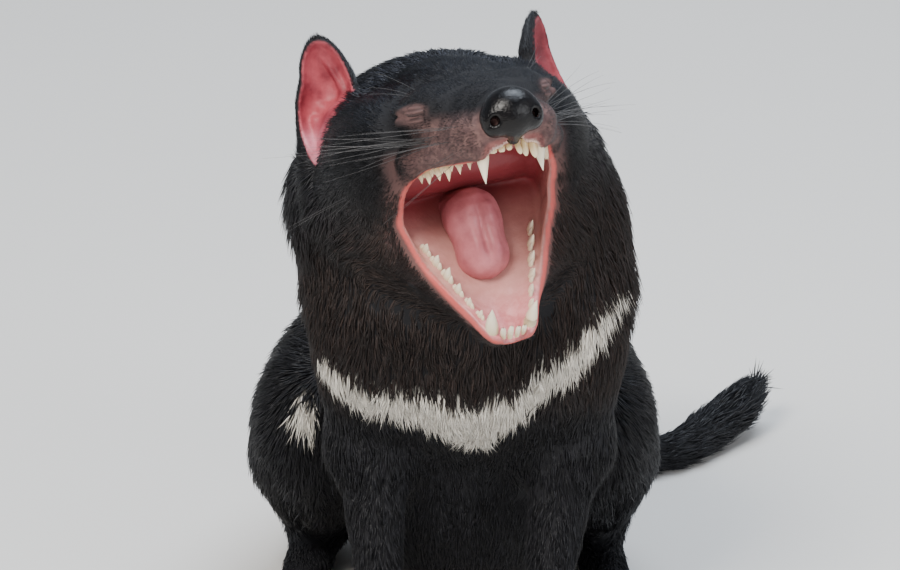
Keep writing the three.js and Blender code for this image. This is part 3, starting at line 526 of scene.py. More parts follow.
def slope(field, p, step=0.35):
    """Field values at points, unit normals there, and how steep the field is."""
    grad = np.empty_like(p)
    for axis in range(3):
        shift = np.zeros(3)
        shift[axis] = step
        grad[:, axis] = (field(p + shift) - field(p - shift)) / (2 * step)
    size = np.maximum(length(grad), 1e-6)
    return field(p), grad / size[:, None], size


# Surfaces from fields

BLOCK = 6  # grid lines along the side of a block that may be skipped whole


def spacing(*pieces):
    """Grid lines: pieces hold a start, an end and a step, and the ends meet."""
    lines = [np.arange(a, b - 0.5 * step, step) for a, b, step in pieces]
    return np.concatenate(lines + [[pieces[-1][1]]])


def surface(field, xs, ys, zs):
    """Points and four-sided faces of a field's surface on a grid."""
    axes = [np.asarray(a, float) for a in (xs, ys, zs)]
    shape = [len(a) for a in axes]
    value = np.full(shape, 9.0, np.float32)
    starts = [np.arange(0, n, BLOCK) for n in shape]
    ends = [np.minimum(s + BLOCK, n) for s, n in zip(starts, shape)]
    middles, halves = [], []
    for a, s, e in zip(axes, starts, ends):
        low, high = a[s], a[np.minimum(e, len(a) - 1)]
        middles.append((low + high) / 2)
        halves.append((high - low) / 2)
    grid = np.stack(np.meshgrid(*middles, indexing="ij"), -1).reshape(-1, 3)
    half = np.stack(np.meshgrid(*halves, indexing="ij"), -1).reshape(-1, 3)
    rough = field(grid)
    reach = length(half) * 1.5 + 2.5
    index = np.stack(np.meshgrid(*[np.arange(len(s)) for s in starts], indexing="ij"), -1).reshape(-1, 3)
    for (i, j, k), d in zip(index[rough < -reach], rough[rough < -reach]):
        value[starts[0][i] : ends[0][i], starts[1][j] : ends[1][j], starts[2][k] : ends[2][k]] = d
    busy = index[np.abs(rough) <= reach]
    step = np.stack(np.meshgrid(*[np.arange(BLOCK)] * 3, indexing="ij"), -1).reshape(-1, 3)
    for batch in np.array_split(busy, max(1, len(busy) // 700)):
        ijk = (batch[:, None, :] * BLOCK + step[None]).reshape(-1, 3)
        ijk = ijk[(ijk < shape).all(1)]
        points = np.column_stack([a[ijk[:, c]] for c, a in enumerate(axes)])
        value[tuple(ijk.T)] = field(points)
    for c in range(3):
        edge = [slice(None)] * 3
        for end in (0, -1):
            edge[c] = end
            value[tuple(edge)] = np.maximum(value[tuple(edge)], 0.01)

    inside = value < 0
    corners = [(c & 1, (c >> 1) & 1, c >> 2) for c in range(8)]
    cut = [tuple(slice(o, n - 1 + o) for o, n in zip(corner, shape)) for corner in corners]
    count = np.zeros([n - 1 for n in shape], np.int8)
    for c in cut:
        count += inside[c]
    cells = np.argwhere((count > 0) & (count < 8))
    number = np.full([n - 1 for n in shape], -1, np.int32)
    number[tuple(cells.T)] = np.arange(len(cells))
    at_corner = np.array([value[tuple((cells + corner).T)] for corner in corners])
    total, crossings = np.zeros((len(cells), 3)), np.zeros(len(cells))
    for a in range(8):
        for bit in (1, 2, 4):
            if a & bit:
                continue
            va, vb = at_corner[a], at_corner[a | bit]
            crossed = (va < 0) != (vb < 0)
            t = np.where(crossed, va / np.where(crossed, va - vb, 1), 0)
            ends_of = np.array(corners[a], float), np.array(corners[a | bit], float)
            point = ends_of[0] + t[:, None] * (ends_of[1] - ends_of[0])
            total += np.where(crossed[:, None], point, 0)
            crossings += crossed
    share = total / crossings[:, None]
    points = np.column_stack(
        [a[cells[:, c]] + share[:, c] * (a[cells[:, c] + 1] - a[cells[:, c]]) for c, a in enumerate(axes)]
    )
    faces = []
    for axis in range(3):
        u, w = (axis + 1) % 3, (axis + 2) % 3
        low = [slice(None)] * 3
        low[axis] = slice(0, shape[axis] - 1)
        high = list(low)
        high[axis] = slice(1, shape[axis])
        crossing = np.argwhere(inside[tuple(low)] != inside[tuple(high)])
        crossing = crossing[(crossing[:, u] > 0) & (crossing[:, w] > 0)]
        crossing = crossing[(crossing[:, u] < shape[u] - 1) & (crossing[:, w] < shape[w] - 1)]
        du, dw = np.zeros(3, int), np.zeros(3, int)
        du[u], dw[w] = 1, 1
        ring = [crossing, crossing - du, crossing - du - dw, crossing - dw]
        quad = np.column_stack([number[tuple(r.T)] for r in ring])
        outward = inside[tuple(crossing.T)]
        quad[~outward] = quad[~outward][:, ::-1]
        faces.append(quad)
    return points, np.vstack(faces)


def settled(field, points, rounds=2):
    """Moves points onto the surface of a field and gives its normals there."""
    points = points.copy()
    for _ in range(rounds):
        value, normal, size = slope(field, points)
        points -= np.clip(value / size, -0.8, 0.8)[:, None] * normal
    return points, normal


# Meshes


def row_frame(points):
    """Points in the row's frame and metres."""
    return (np.asarray(points, float) + ORIGIN) / 1000


def make_piece(name, points, faces, replaces=(), layers=None, tufts=None):
    """A mesh object from points in mm and an array of faces, riding on the body."""
    faces = np.asarray(faces, np.int32)
    sides = faces.shape[1]
    mesh = bpy.data.meshes.new(name)
    mesh.vertices.add(len(points))
    mesh.vertices.foreach_set("co", row_frame(points).astype(np.float32).ravel())
    mesh.loops.add(faces.size)
    mesh.loops.foreach_set("vertex_index", faces.ravel())
    mesh.polygons.add(len(faces))
    mesh.polygons.foreach_set("loop_start", np.arange(0, faces.size, sides, dtype=np.int32))
    mesh.update(calc_edges=True)
    mesh.polygons.foreach_set("use_smooth", np.ones(len(faces), bool))
    for layer, values in (layers or {}).items():
        attribute = mesh.attributes.new(layer, "FLOAT", "POINT")
        attribute.data.foreach_set("value", np.asarray(values, np.float32))
    if tufts is not None:
        uv = mesh.uv_layers.new(name="OFBake")
        uv.data.foreach_set("uv", tufts[faces.ravel()].astype(np.float32).ravel())
    mesh.update()
    piece = bpy.data.objects.new(name, mesh)
    bpy.context.scene.collection.objects.link(piece)
    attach(piece, BODY)
    if replaces:
        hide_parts(*replaces)
    return piece


def taper(path, radius, sides):
    """Points and four-sided faces of a round tube along a path, with a radius at each point."""
    path, radius = np.asarray(path, float), np.asarray(radius, float)
    run = np.gradient(path, axis=0)
    run /= length(run)[:, None]
    up = np.array([0.13, 0.21, 1.0])
    across = np.cross(run, up)
    across /= np.maximum(length(across), 1e-6)[:, None]
    rise = np.cross(across, run)
    angle = np.linspace(0, 2 * math.pi, sides, endpoint=False)
    ring = np.cos(angle)[:, None] * across[:, None] + np.sin(angle)[:, None] * rise[:, None]
    points = (path[:, None] + radius[:, None, None] * ring).reshape(-1, 3)
    i, j = np.meshgrid(np.arange(len(path) - 1), np.arange(sides), indexing="ij")
    a, b = i * sides + j, i * sides + (j + 1) % sides
    faces = np.stack([a, b, b + sides, a + sides], -1).reshape(-1, 4)
    return points, faces


class Pile:
    """Joins many small meshes into one."""

    def __init__(self):
        self.points, self.faces, self.count, self.marks = [], [], 0, []

    def add(self, points, faces, mark=0.0):
        self.points.append(points)
        self.faces.append(np.asarray(faces) + self.count)
        self.marks.append(np.broadcast_to(mark, len(points)))
        self.count += len(points)

    def all(self):
        return np.vstack(self.points), np.vstack(self.faces), np.concatenate(self.marks)


# Shader maths


class Val:
    """A socket that takes part in Python expressions."""

    def __init__(self, shader, socket):
        self.shader, self.socket = shader, socket

    def _math(self, operation, other, swap=False):
        a, b = (other, self) if swap else (self, other)
        return self.shader.node("ShaderNodeMath", {"operation": operation}, {0: a, 1: b})

    def __add__(self, other):
        return self._math("ADD", other)

    def __radd__(self, other):
        return self._math("ADD", other, True)

    def __sub__(self, other):
        return self._math("SUBTRACT", other)

    def __rsub__(self, other):
        return self._math("SUBTRACT", other, True)

    def __mul__(self, other):
        return self._math("MULTIPLY", other)

    def __rmul__(self, other):
        return self._math("MULTIPLY", other, True)


def socket_name(key):
    """The shader's name of a socket, from a Python name."""
    return key.replace("_", " ").title().replace("Ior", "IOR")


class Shader:
    """A material under construction, with one method that adds any node."""

    def __init__(self, name, **fixed):
        self.material = bpy.data.materials.new(name)
        self.material.use_nodes = True
        self.tree = self.material.node_tree
        self.surface = next(n for n in self.tree.nodes if n.type == "BSDF_PRINCIPLED")
        for key, value in fixed.items():
            self.surface.inputs[socket_name(key)].default_value = value

    def node(self, kind, settings=None, sockets=None, output=0):
        """One output of a new node, after its settings and then its sockets are set or linked."""
        node = self.tree.nodes.new(kind)
        for key, value in (settings or {}).items():
            setattr(node, key, value)
        for key, value in (sockets or {}).items():
            if isinstance(value, Val):
                self.tree.links.new(value.socket, node.inputs[key])
            else:
                node.inputs[key].default_value = value
        return Val(self, node.outputs[output])

    def layer(self, name):
        """A number that the mesh holds at each point."""
        return self.node("ShaderNodeAttribute", {"attribute_name": name}, output="Fac")

    def noise(self, scale, detail=3.0):
        where = self.node("ShaderNodeTexCoord", output="Object")
        sockets = {"Vector": where, "Scale": scale, "Detail": detail, "Roughness": 0.55}
        return self.node("ShaderNodeTexNoise", None, sockets)

    def ramp(self, value, low, high):
        """The value as a share of the way from low to high."""
        sockets = {"Value": value, "From Min": low, "From Max": high}
        return self.node("ShaderNodeMapRange", {"clamp": True}, sockets)

    def mix(self, share, a, b):
        """Colour a where the share is 0 and b where it is 1."""
        a, b = (c if isinstance(c, Val) else (*c, 1) for c in (a, b))
        return self.node("ShaderNodeMix", {"data_type": "RGBA"}, {6: a, 7: b, 0: share}, output=2)

    def bump(self, height, strength, distance):
        sockets = {"Height": height, "Strength": strength, "Distance": distance}
        return self.node("ShaderNodeBump", None, sockets)

    def feed(self, **sockets):
        """The finished material, with values that vary linked to its surface."""
        for key, value in sockets.items():
            self.tree.links.new(value.socket, self.surface.inputs[socket_name(key)])
        return self.material


# Markings, the same on skin and coat

# White band on the chest: x, the height of its middle and half its height, from right to left.
BLAZE = np.array(
    [
        (-62, 168, 2), (-57, 163, 6), (-46, 155.5, 7), (-37, 151.5, 7), (-25, 149, 8), (-14, 147, 9),
        (-5.5, 144, 11.5), (6, 140.5, 11.5), (14, 138, 15.5), (19, 142.5, 11), (28, 148, 10), (42, 163.5, 9),
        (53, 173, 8.5), (64, 184, 8), (76, 201, 3),
    ]
)
FLANK = Place(euler((0, -12, 0)), (-69.5, 98, 110))  # white patch on the right flank
FLANK_SIZE = (5, 9, 10)


def blaze_mask(p):
    """White chest band and the small patch on the right flank, 1 on them and 0 off them."""
    x, height, half = BLAZE.T
    ragged = 1.1 * ripple(p, 8, 5) + 1.3 * ripple(p, 3, 6)
    off = np.abs(p[:, 2] - np.interp(p[:, 0], x, height)) - np.interp(p[:, 0], x, half)
    off = np.where((p[:, 0] < x[0]) | (p[:, 0] > x[-1]), 20, off)
    band = smooth(2, -2, off + ragged) * smooth(52, 42, p[:, 1])
    flank = length(FLANK.back(p) / FLANK_SIZE)
    return np.maximum(band, 0.9 * smooth(1.2, 0.7, flank + 0.12 * ragged))


def head_marks(p):
    """Masks on the head: the head itself, mouth, lips, muzzle, lids, nose, and the inside of the ears."""
    q = HEAD.back(p)
    hollow = mouth_hollow(q)
    near = smooth(190, 150, length(p - np.array(JAW_HINGE, float)))
    lining = smooth(1.8, 0.6, hollow) * near
    side = np.abs(q[:, 0])
    snout = smooth(-44, -66, q[:, 1]) * smooth(10, 0, q[:, 2] - 0.25 * side) * smooth(-24, -12, q[:, 2])
    eye = (np.column_stack((side, q[:, 1:])) - (31, -58, 16.4)) @ euler((0, 0, 45))
    off_ear, cup, lobe = np.full(len(p), 30.0), np.zeros(len(p)), np.zeros(len(p))
    for which, place in EARS:
        e = place.back(q)
        off_ear = np.minimum(off_ear, ear(which)(e))
        here = smooth(1.1, 0.3, ear_hollow(which)(e))
        cup = np.maximum(cup, here)
        lobe = np.maximum(lobe, here * smooth(15, 1, e[:, 2]))
    return {
        "head": smooth(12, -2, face(q)) * near,
        "lining": lining,
        "lip": smooth(4.3, 3.0, hollow) * (1 - lining) * near * (1 - 0.8 * smooth(-76, -90, q[:, 1])),
        "rim": smooth(13, 4, hollow) * near,
        # painted shade: 1 towards the throat, where the lining is darkened as if in shade
        "deep": smooth(40, 18, np.hypot(q[:, 1], q[:, 2])) * near,
        # painted light: the palate, made paler as if lit by light thrown up from the ground
        "roof": smooth(-20, -11, q[:, 2]) * smooth(30, 50, np.hypot(q[:, 1], q[:, 2])) * near,
        "floor": smooth(60, 84, np.hypot(q[:, 1], q[:, 2])) * smooth(-26, -44, q[:, 2]) * near,
        "muzzle": snout * near,
        "lid": smooth(1.15, 0.75, length(eye / (9.5, 6, 4.6))),
        "brow": smooth(1.3, 0.6, length((np.column_stack((side, q[:, 1:])) - (27, -50, 27)) / (6, 7, 6))),
        "cup": cup * near,
        "lobe": lobe * near,
        "ear": smooth(5, 1.5, off_ear) * near,
        "nose": smooth(2.4, 1.2, egg((0, -103, 6), (14.5, 10, 12))(q)),
    }


# Coat

# Middle line of the back, which the coat follows from the neck to the rump.
SPINE = curve(np.array([(2, 60, 300), (3, 100, 262), (3, 160, 205), (2, 220, 140), (3, 262, 60.0)]), 24)


RUFF = np.array([(-68, 44, 234), (-66, 50, 220), (68, 50, 216)], float)  # hair that stands out at the neck


def unit(v):
    return v / np.maximum(length(v), 1e-6)[:, None]


def coat_flow(p):
    """The way that the hair lies, before it is laid along the skin."""
    q, j = HEAD.back(p), JAW.back(p)
    side = np.sign(q[:, 0]) * smooth(0, 12, np.abs(q[:, 0]))
    back = np.tile([0.0, 1.0, 0.1], (len(p), 1))
    back[:, 0] += side * (0.2 + 0.35 * smooth(-30, 20, q[:, 1]))
    back[:, 2] -= 0.9 * smooth(14, -22, q[:, 2]) * smooth(-62, -10, q[:, 1])
    chin = (smooth(-6, -20, j[:, 2]) * smooth(-12, -50, j[:, 1]))[:, None]
    chin_way = np.column_stack((0.4 * side, np.ones(len(p)), np.full(len(p), -0.1))) @ JAW_TURN.turn.T
    head_way = unit(back * (1 - chin) + chin_way * chin) @ HEAD.turn.T

    nearest = np.argmin(((p[:, None, :] - SPINE[None, ::3, :]) ** 2).sum(-1), axis=1) * 3
    spine_way = unit(np.gradient(SPINE, axis=0))[nearest]
    front = smooth(105, 30, p[:, 1])[:, None]
    way = front * (0, 0.08, -1) + (1 - front) * unit(0.8 * spine_way + (0, 0.17, -0.7))
    leg = (smooth(125, 80, p[:, 2]) * smooth(95, 70, p[:, 1]))[:, None]
    way = unit(way * (1 - leg) + leg * (0, -0.15, -1))
    foot = (smooth(42, 20, p[:, 2]) * smooth(240, 215, p[:, 1]))[:, None]
    way = unit(way * (1 - foot) + foot * (0, -1, -0.2))
    tail_line = np.array(TAIL)[:, :3]
    close = np.argmin(((p[:, None] - tail_line[None]) ** 2).sum(-1), axis=1)
    in_tail = smooth(246, 272, p[:, 1])[:, None]
    way = unit(way * (1 - in_tail) + unit(np.gradient(tail_line, axis=0))[close] * in_tail)
    share = smooth(14, 2, face(q))[:, None]
    way = unit(head_way * share + way * (1 - share))
    for which, place in EARS:
        share = smooth(5, 1.5, ear(which)(place.back(q)))[:, None]
        way = unit(way * (1 - share) + share * (HEAD.turn @ place.turn[:, 2]))
    return way


def coat_size(p, marks):
    """Length and width of tufts in mm, how far they stand out in degrees, and how dense they are."""
    q = HEAD.back(p)
    side, head = np.abs(q[:, 0]), marks["head"]
    snout = smooth(-22, -62, q[:, 1]) * head
    cheek = smooth(30, 50, side) * smooth(-25, 5, q[:, 1]) * smooth(22, -8, q[:, 2])
    cheek *= smooth(-62, -40, q[:, 2]) * smooth(14, 4, face(q))
    crest = smooth(-12, 8, q[:, 1]) * smooth(24, 38, q[:, 2]) * smooth(10, 0, face(q))
    low = smooth(125, 85, p[:, 2]) * smooth(100, 75, p[:, 1])
    paws = smooth(48, 24, p[:, 2]) * smooth(245, 225, p[:, 1])
    brush = smooth(124, 148, p[:, 0]) * smooth(290, 315, p[:, 1])
    rump = smooth(100, 160, p[:, 1]) * (1 - smooth(246, 270, p[:, 1]))
    ruff = np.zeros(len(p))
    for at in RUFF:
        ruff = np.maximum(ruff, smooth(38, 10, length((p - at) / (1, 1.1, 1.2))))
    long = 12.5 + 2.5 * rump - 6 * head - 3.9 * snout + 7 * cheek + 6 * crest
    long = long - 3.5 * low - 5 * paws + 5 * brush + 7 * ruff
    lift = 12 + 9 * cheek + 20 * crest + 6 * brush - 3 * head - 2 * snout + 22 * ruff
    on_ear = marks["ear"]
    long = np.clip(long, 1.7, 20) * (1 - on_ear) + 4.2 * on_ear
    long *= 1 - 0.3 * marks["rim"] * snout
    lift = lift * (1 - 0.3 * on_ear)
    wide = 0.22 + 0.045 * long - 0.1 * snout
    wide *= 1 - 0.35 * marks["white"]
    dense = 0.5 + 0.06 * (1 - head) + 2.2 * head + 2.8 * snout + 2.4 * on_ear + 0.5 * marks["white"]
    bare = np.maximum.reduce([marks["lining"], marks["lip"], marks["nose"], marks["cup"], 0.8 * marks["lid"]])
    dense *= np.clip(1 - 2 * bare, 0, 1) * (1 - 0.3 * marks["muzzle"])
    return long, wide, lift, dense


def island(p):
    """Places of skin points on an unwrap of the skin: a cylinder for each limb and length of body."""
    regions = [
        ((0, -100, 300), (0, 60, 250), (0.0, 0.3)),
        ((0, 60, 250), (2, 110, 150), (0.3, 0.5)),
        ((2, 110, 190), (2, 250, 60), (0.5, 0.72)),
        ((44, 40, 150), (41, 0, 0), (0.72, 0.79)),
        ((-34, 40, 150), (-32, 0, 0), (0.79, 0.86)),
        ((74, 140, 100), (78, 110, 0), (0.86, 0.91)),
        ((-70, 140, 100), (-74, 110, 0), (0.91, 0.96)),
        ((10, 262, 40), (168, 360, 25), (0.96, 1.0)),
    ]
    best, uv = np.full(len(p), 1e9), np.zeros((len(p), 2))
    for start, end, (low, high) in regions:
        a, b = np.array(start, float), np.array(end, float)
        run = b - a
        t = (p - a) @ run / (run @ run)
        off = p - a - np.clip(t, 0, 1)[:, None] * run
        far = length(off)
        axis = run / np.linalg.norm(run)
        e1 = np.cross(axis, (1.0, 0, 0))
        e1 /= np.linalg.norm(e1)
        e2 = np.cross(axis, e1)
        angle = np.arctan2(off @ e2, off @ e1) / (2 * math.pi) + 0.5
        closer = far < best
        best = np.where(closer, far, best)
        u = 0.01 + 0.98 * angle
        v = low + (high - low) * (0.06 + 0.88 * np.clip(t, 0, 1))
        uv = np.where(closer[:, None], np.column_stack((u, v)), uv)
    return uv


PIECE_LIMIT = 199000  # triangles in one piece of the coat
BENT_FROM = 7.5  # tufts of this length or more have a bend
PATCH = 0.003  # side of a tuft's patch in the OFBake map


def tuft_mesh(root, normal, flow, long, wide, lift, bent, rng):
    """Closed spikes with three sides, one for each root, with a bend in the long ones."""
    n = len(root)
    lie = unit(flow - np.einsum("ij,ij->i", flow, normal)[:, None] * normal)
    cross = np.cross(lie, normal)
    waves = 0.26 * ripple(root, 17, 31) + 0.20 * ripple(root, 5.5, 32)
    comb = waves * smooth(2, 8, long) + 0.09 * rng.normal(size=n)
    lie = unit(lie + comb[:, None] * cross)
    cross = np.cross(lie, normal)
    rise = np.radians(np.maximum(lift + 2.5 * ripple(root, 7, 33) + 3 * rng.normal(size=n), 5))
    first = lie * np.cos(rise)[:, None] + normal * np.sin(rise)[:, None]
    flat = rise * 0.25
    second = lie * np.cos(flat)[:, None] + normal * np.sin(flat)[:, None]
    second = unit(second + cross * (0.12 * rng.normal(size=n))[:, None])
    long = (long * rng.uniform(0.7, 1.2, n))[:, None]
    half = (wide * rng.uniform(0.75, 1.25, n) / 2)[:, None]
    up = np.cross(cross, first)
    start = root - normal * np.minimum(0.5, 0.08 * long)

    def ring(at, scale):
        low = at - up * half * 0.25
        return [low - cross * half * scale, low + cross * half * scale, at + up * half * scale * 0.6]

    if bent:
        bend = start + first * (0.5 * long)
        points = np.stack(ring(start, 1.0) + ring(bend, 0.85) + [bend + second * (0.5 * long)], 1)
        sides = [(0, 2, 1), (0, 1, 4), (0, 4, 3), (1, 2, 5), (1, 5, 4), (2, 0, 3), (2, 3, 5)]
        sides += [(3, 4, 6), (4, 5, 6), (5, 3, 6)]
    else:
        points = np.stack(ring(start, 1.0) + [start + first * long], 1)
        sides = [(0, 2, 1), (0, 1, 3), (1, 2, 3), (2, 0, 3)]
    corners = points.shape[1]
    faces = np.arange(n)[:, None, None] * corners + np.array(sides)
    return points.reshape(-1, 3), faces.reshape(-1, 3)


FLESH = [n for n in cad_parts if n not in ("tongue", "nose", "left_eye", "right_eye")]
CACHE = {}


def skin_surface():
    """The skin's points, faces, normals and markings, worked out once."""
    if "skin" not in CACHE:
        coarse = 1.0
        f, c = 1.2 * coarse, 2.6 * coarse
        points, faces = surface(
            skin,
            spacing((-112, -82, c), (-82, 82, f), (82, 180, c)),
            spacing((-96, 44, f), (44, 84, 0.5 * (f + c)), (84, 380, c)),
            spacing((-3, 186, c), (186, 346, f)),
        )
        points, normal = settled(skin, points)
        points[:, 2] = np.maximum(points[:, 2], 0.3)
        CACHE["skin"] = points, faces, normal, {**head_marks(points), "white": blaze_mask(points)}
    return CACHE["skin"]


def scatter(points, faces, normal, marks, total, rng):
    """Roots of tufts on the skin, more where the coat is dense."""
    tri = np.vstack((faces[:, [0, 1, 2]], faces[:, [0, 2, 3]]))
    a, b, c = (points[tri[:, i]] for i in range(3))
    area = length(np.cross(b - a, c - a)) / 2
    middle = (a + b + c) / 3
    face_marks = {k: v[tri].mean(1) for k, v in marks.items()}
    dense = coat_size(middle, face_marks)[3]
    dense = np.where(middle[:, 2] < 1.2, 0, dense)
    weight = area * dense
    pick = rng.choice(len(tri), size=total, p=weight / weight.sum())
    u, v = rng.uniform(size=(2, total))
    flip = u + v > 1
    u, v = np.where(flip, 1 - u, u), np.where(flip, 1 - v, v)
    shares = [share[:, None] for share in (1 - u - v, u, v)]

    def spread(values):
        near = [values[tri[pick, corner]] * share for corner, share in enumerate(shares)]
        return near[0] + near[1] + near[2]

    return spread(points), unit(spread(normal)), {name: mark[pick] for name, mark in face_marks.items()}


# Settings


class DevilCoat(bpy.types.PropertyGroup):
    """Coat settings."""

    tufts: bpy.props.IntProperty(
        name="Tufts", description="Tufts in the whole coat", default=200000, min=1000
    )
    black: bpy.props.FloatVectorProperty(
        name="Black", description="Colour of the coat", subtype="COLOR", default=(0.0062, 0.0060, 0.0078)
    )
    white: bpy.props.FloatVectorProperty(
        name="White", description="Colour of the chest band", subtype="COLOR", default=(0.90, 0.85, 0.76)
    )


class DevilFlesh(bpy.types.PropertyGroup):
    """Skin and mouth settings."""

    lining: bpy.props.FloatVectorProperty(
        name="Mouth", description="Colour of the mouth's lining", subtype="COLOR", default=(0.52, 0.26, 0.23)
    )
    lip: bpy.props.FloatVectorProperty(
        name="Lips", description="Colour of the lips", subtype="COLOR", default=(0.54, 0.10, 0.085)
    )
    ear: bpy.props.FloatVectorProperty(
        name="Ears", description="Colour inside the ears", subtype="COLOR", default=(0.36, 0.062, 0.078)
    )
    tooth: bpy.props.FloatVectorProperty(
        name="Teeth", description="Colour of the teeth", subtype="COLOR", default=(0.84, 0.78, 0.62)
    )


# Materials


def coat_colors():
    look = bpy.context.scene.devil_coat
    return tuple(look.black), tuple(look.white)


def shade(color, share):
    return tuple(share * c for c in color)


def skin_material():
    """Skin under the fur, with its bare parts and the same white as the coat."""
    look = bpy.context.scene.devil_flesh
    black, white = coat_colors()
    s = Shader("furred_skin", Specular_Ior_Level=0.3)
    large, fine, spots = s.noise(60), s.noise(420, 4), s.ramp(s.noise(260, 3), 0.38, 0.62)
    color = s.mix(large, shade(black, 0.5), black)
    color = s.mix(s.layer("rim") * 0.7, color, s.mix(large, (0.20, 0.095, 0.085), (0.09, 0.045, 0.04)))
    color = s.mix(s.layer("muzzle") * 0.9, color, s.mix(spots, (0.150, 0.084, 0.076), (0.080, 0.043, 0.042)))
    color = s.mix(s.layer("lid") * 0.8, color, s.mix(spots, (0.11, 0.058, 0.054), (0.05, 0.027, 0.026)))
    ear = s.mix(s.ramp(s.noise(80, 5), 0.38, 0.62), tuple(look.ear), (0.17, 0.018, 0.028))
    lobe = s.mix(s.ramp(s.noise(90, 4), 0.38, 0.62), (0.58, 0.21, 0.26), (0.36, 0.08, 0.11))
    ear = s.mix(s.layer("lobe"), ear, lobe)
    color = s.mix(s.layer("cup"), color, ear)
    color = s.mix(s.layer("white"), color, shade(white, 0.6))
    wet = s.mix(s.ramp(s.noise(110, 5), 0.35, 0.7), tuple(look.lining), (0.42, 0.185, 0.165))
    # painted light: a paler palate in place of light thrown up into the mouth from below
    wet = s.mix(s.layer("roof"), wet, s.mix(spots, (0.72, 0.53, 0.45), (0.60, 0.40, 0.34)))
    wet = s.mix(s.layer("floor"), wet, s.mix(spots, (0.64, 0.26, 0.265), (0.50, 0.15, 0.16)))
    # painted shade: the lining turns dark red towards the throat
    wet = s.mix(s.layer("deep"), wet, (0.20, 0.03, 0.036))
    color = s.mix(s.layer("lip"), color, s.mix(large, tuple(look.lip), (0.42, 0.07, 0.062)))
    color = s.mix(s.layer("lining"), color, wet)
    gloss = 0.8 - 0.36 * s.layer("lip") - 0.48 * s.layer("lining") - 0.3 * s.layer("cup")
    return s.feed(Base_Color=color, Roughness=gloss, Normal=s.bump(fine, 0.4, 0.0006))


def coat_material():
    black, white = coat_colors()
    s = Shader("coat", Specular_Ior_Level=0.32)
    along, tint = s.layer("along"), s.layer("tint")
    dark = s.mix(tint, shade(black, 0.6), shade(black, 1.7))
    dark = s.mix(s.layer("warm"), dark, s.mix(tint, (0.012, 0.0068, 0.0050), (0.034, 0.0195, 0.0140)))
    # painted sheen: tufts on top of the head turn bluish grey, a painted reflection of the sky
    dark = s.mix(s.layer("painted_sky_sheen"), dark, s.mix(tint, (0.0105, 0.0115, 0.0155), (0.030, 0.034, 0.047)))
    dark = s.mix(s.layer("mauve"), dark, s.mix(tint, (0.040, 0.024, 0.024), (0.125, 0.078, 0.074)))
    pale = s.mix(tint, shade(white, 0.85), white)
    color = s.mix(s.layer("white"), dark, s.mix(along, shade(white, 0.68), pale))
    gloss = 0.46 + 0.18 * s.layer("warm") + 0.14 * s.layer("white") + 0.08 * tint
    return s.feed(Base_Color=color, Roughness=gloss)


def wet_material(name, light, dark, rough, scale, depth, coat=0.0, shine=0.4):
    s = Shader(name, Coat_Weight=coat, Coat_Roughness=0.12, Specular_Ior_Level=shine)
    patches = s.ramp(s.noise(scale, 4), 0.35, 0.68)
    relief = s.bump(s.noise(scale * 5, 4), 0.5, depth)
    return s.feed(Base_Color=s.mix(patches, light, dark), Roughness=rough + 0.12 * patches, Normal=relief)


def hair_material(name, root, tip):
    s = Shader(name)
    color = s.mix(s.layer("along"), root, tip)
    return s.feed(Base_Color=color, Roughness=0.4 + 0.1 * s.noise(300))


# Operators


class DEVIL_OT_skin(bpy.types.Operator):
    """Make the skin of the head, body, legs and tail"""

    bl_idname = "devil.skin"
    bl_label = "Skin"

    def execute(self, context):
        points, faces, _, marks = skin_surface()
        piece = make_piece("skin", points, faces, FLESH, marks)
        piece.data.materials.append(skin_material())
        return {"FINISHED"}


class DEVIL_OT_coat(bpy.types.Operator):
    """Cover the skin with tufts of fur that follow the lie of the coat"""

    bl_idname = "devil.coat"
    bl_label = "Coat"

    def execute(self, context):
        rng = np.random.default_rng(11)
        total = context.scene.devil_coat.tufts // 1
        points, faces, normal, marks = skin_surface()
        roots, normals, here = scatter(points, faces, normal, marks, total, rng)
        long, wide, lift, _ = coat_size(roots, here)
        flow = coat_flow(roots)
        q = HEAD.back(roots)
        throat = smooth(0, -40, q[:, 2]) * smooth(110, 60, roots[:, 1]) * smooth(135, 160, roots[:, 2])
        warm = np.clip(0.85 * throat + 0.6 * here["rim"] + here["brow"], 0, 1)
        mauve = np.clip(here["muzzle"] + 0.4 * here["rim"] * here["head"], 0, 1)
        # painted sheen: a mask on top of the head for the bluish-grey reflection of the sky, painted into the
        # coat
        painted_sky_sheen = here["head"] * smooth(8, 26, q[:, 2]) * (1 - here["ear"])
        layers = {
            "white": blaze_mask(roots) > rng.uniform(0.3, 0.7, total),
            "warm": warm * rng.uniform(0.6, 1, total),
            "mauve": mauve * rng.uniform(0.5, 1, total),
            "painted_sky_sheen": painted_sky_sheen * rng.uniform(0.2, 1, total),
            "tint": rng.uniform(size=total) ** 1.5,
        }
        uv = island(roots)
        material = coat_material()
        short = long < BENT_FROM
        number = 0
        for bent, corners, sides in ((True, 7, 10), (False, 4, 4)):
            chosen = np.flatnonzero(short != bent)
            chosen = chosen[np.lexsort((uv[chosen, 0], uv[chosen, 1]))]
            for part in np.array_split(chosen, math.ceil(len(chosen) * sides / PIECE_LIMIT)):
                number += 1
                spikes, tris = tuft_mesh(
                    roots[part], normals[part], flow[part], long[part], wide[part], lift[part], bent, rng
                )
                spikes[:, 2] = np.maximum(spikes[:, 2], 0.2)
                each = np.repeat(np.arange(len(part)), corners)
                patch = uv[part][each] + rng.uniform(-PATCH / 2, PATCH / 2, (len(each), 2))
                spots = {name: values[part][each].astype(float) for name, values in layers.items()}
                spots["along"] = np.tile([0, 0, 0, 0.5, 0.5, 0.5, 1] if bent else [0, 0, 0, 1], len(part))
                piece = make_piece("coat_%d" % number, spikes, tris, (), spots, patch)
                piece.data.materials.append(material)
        return {"FINISHED"}


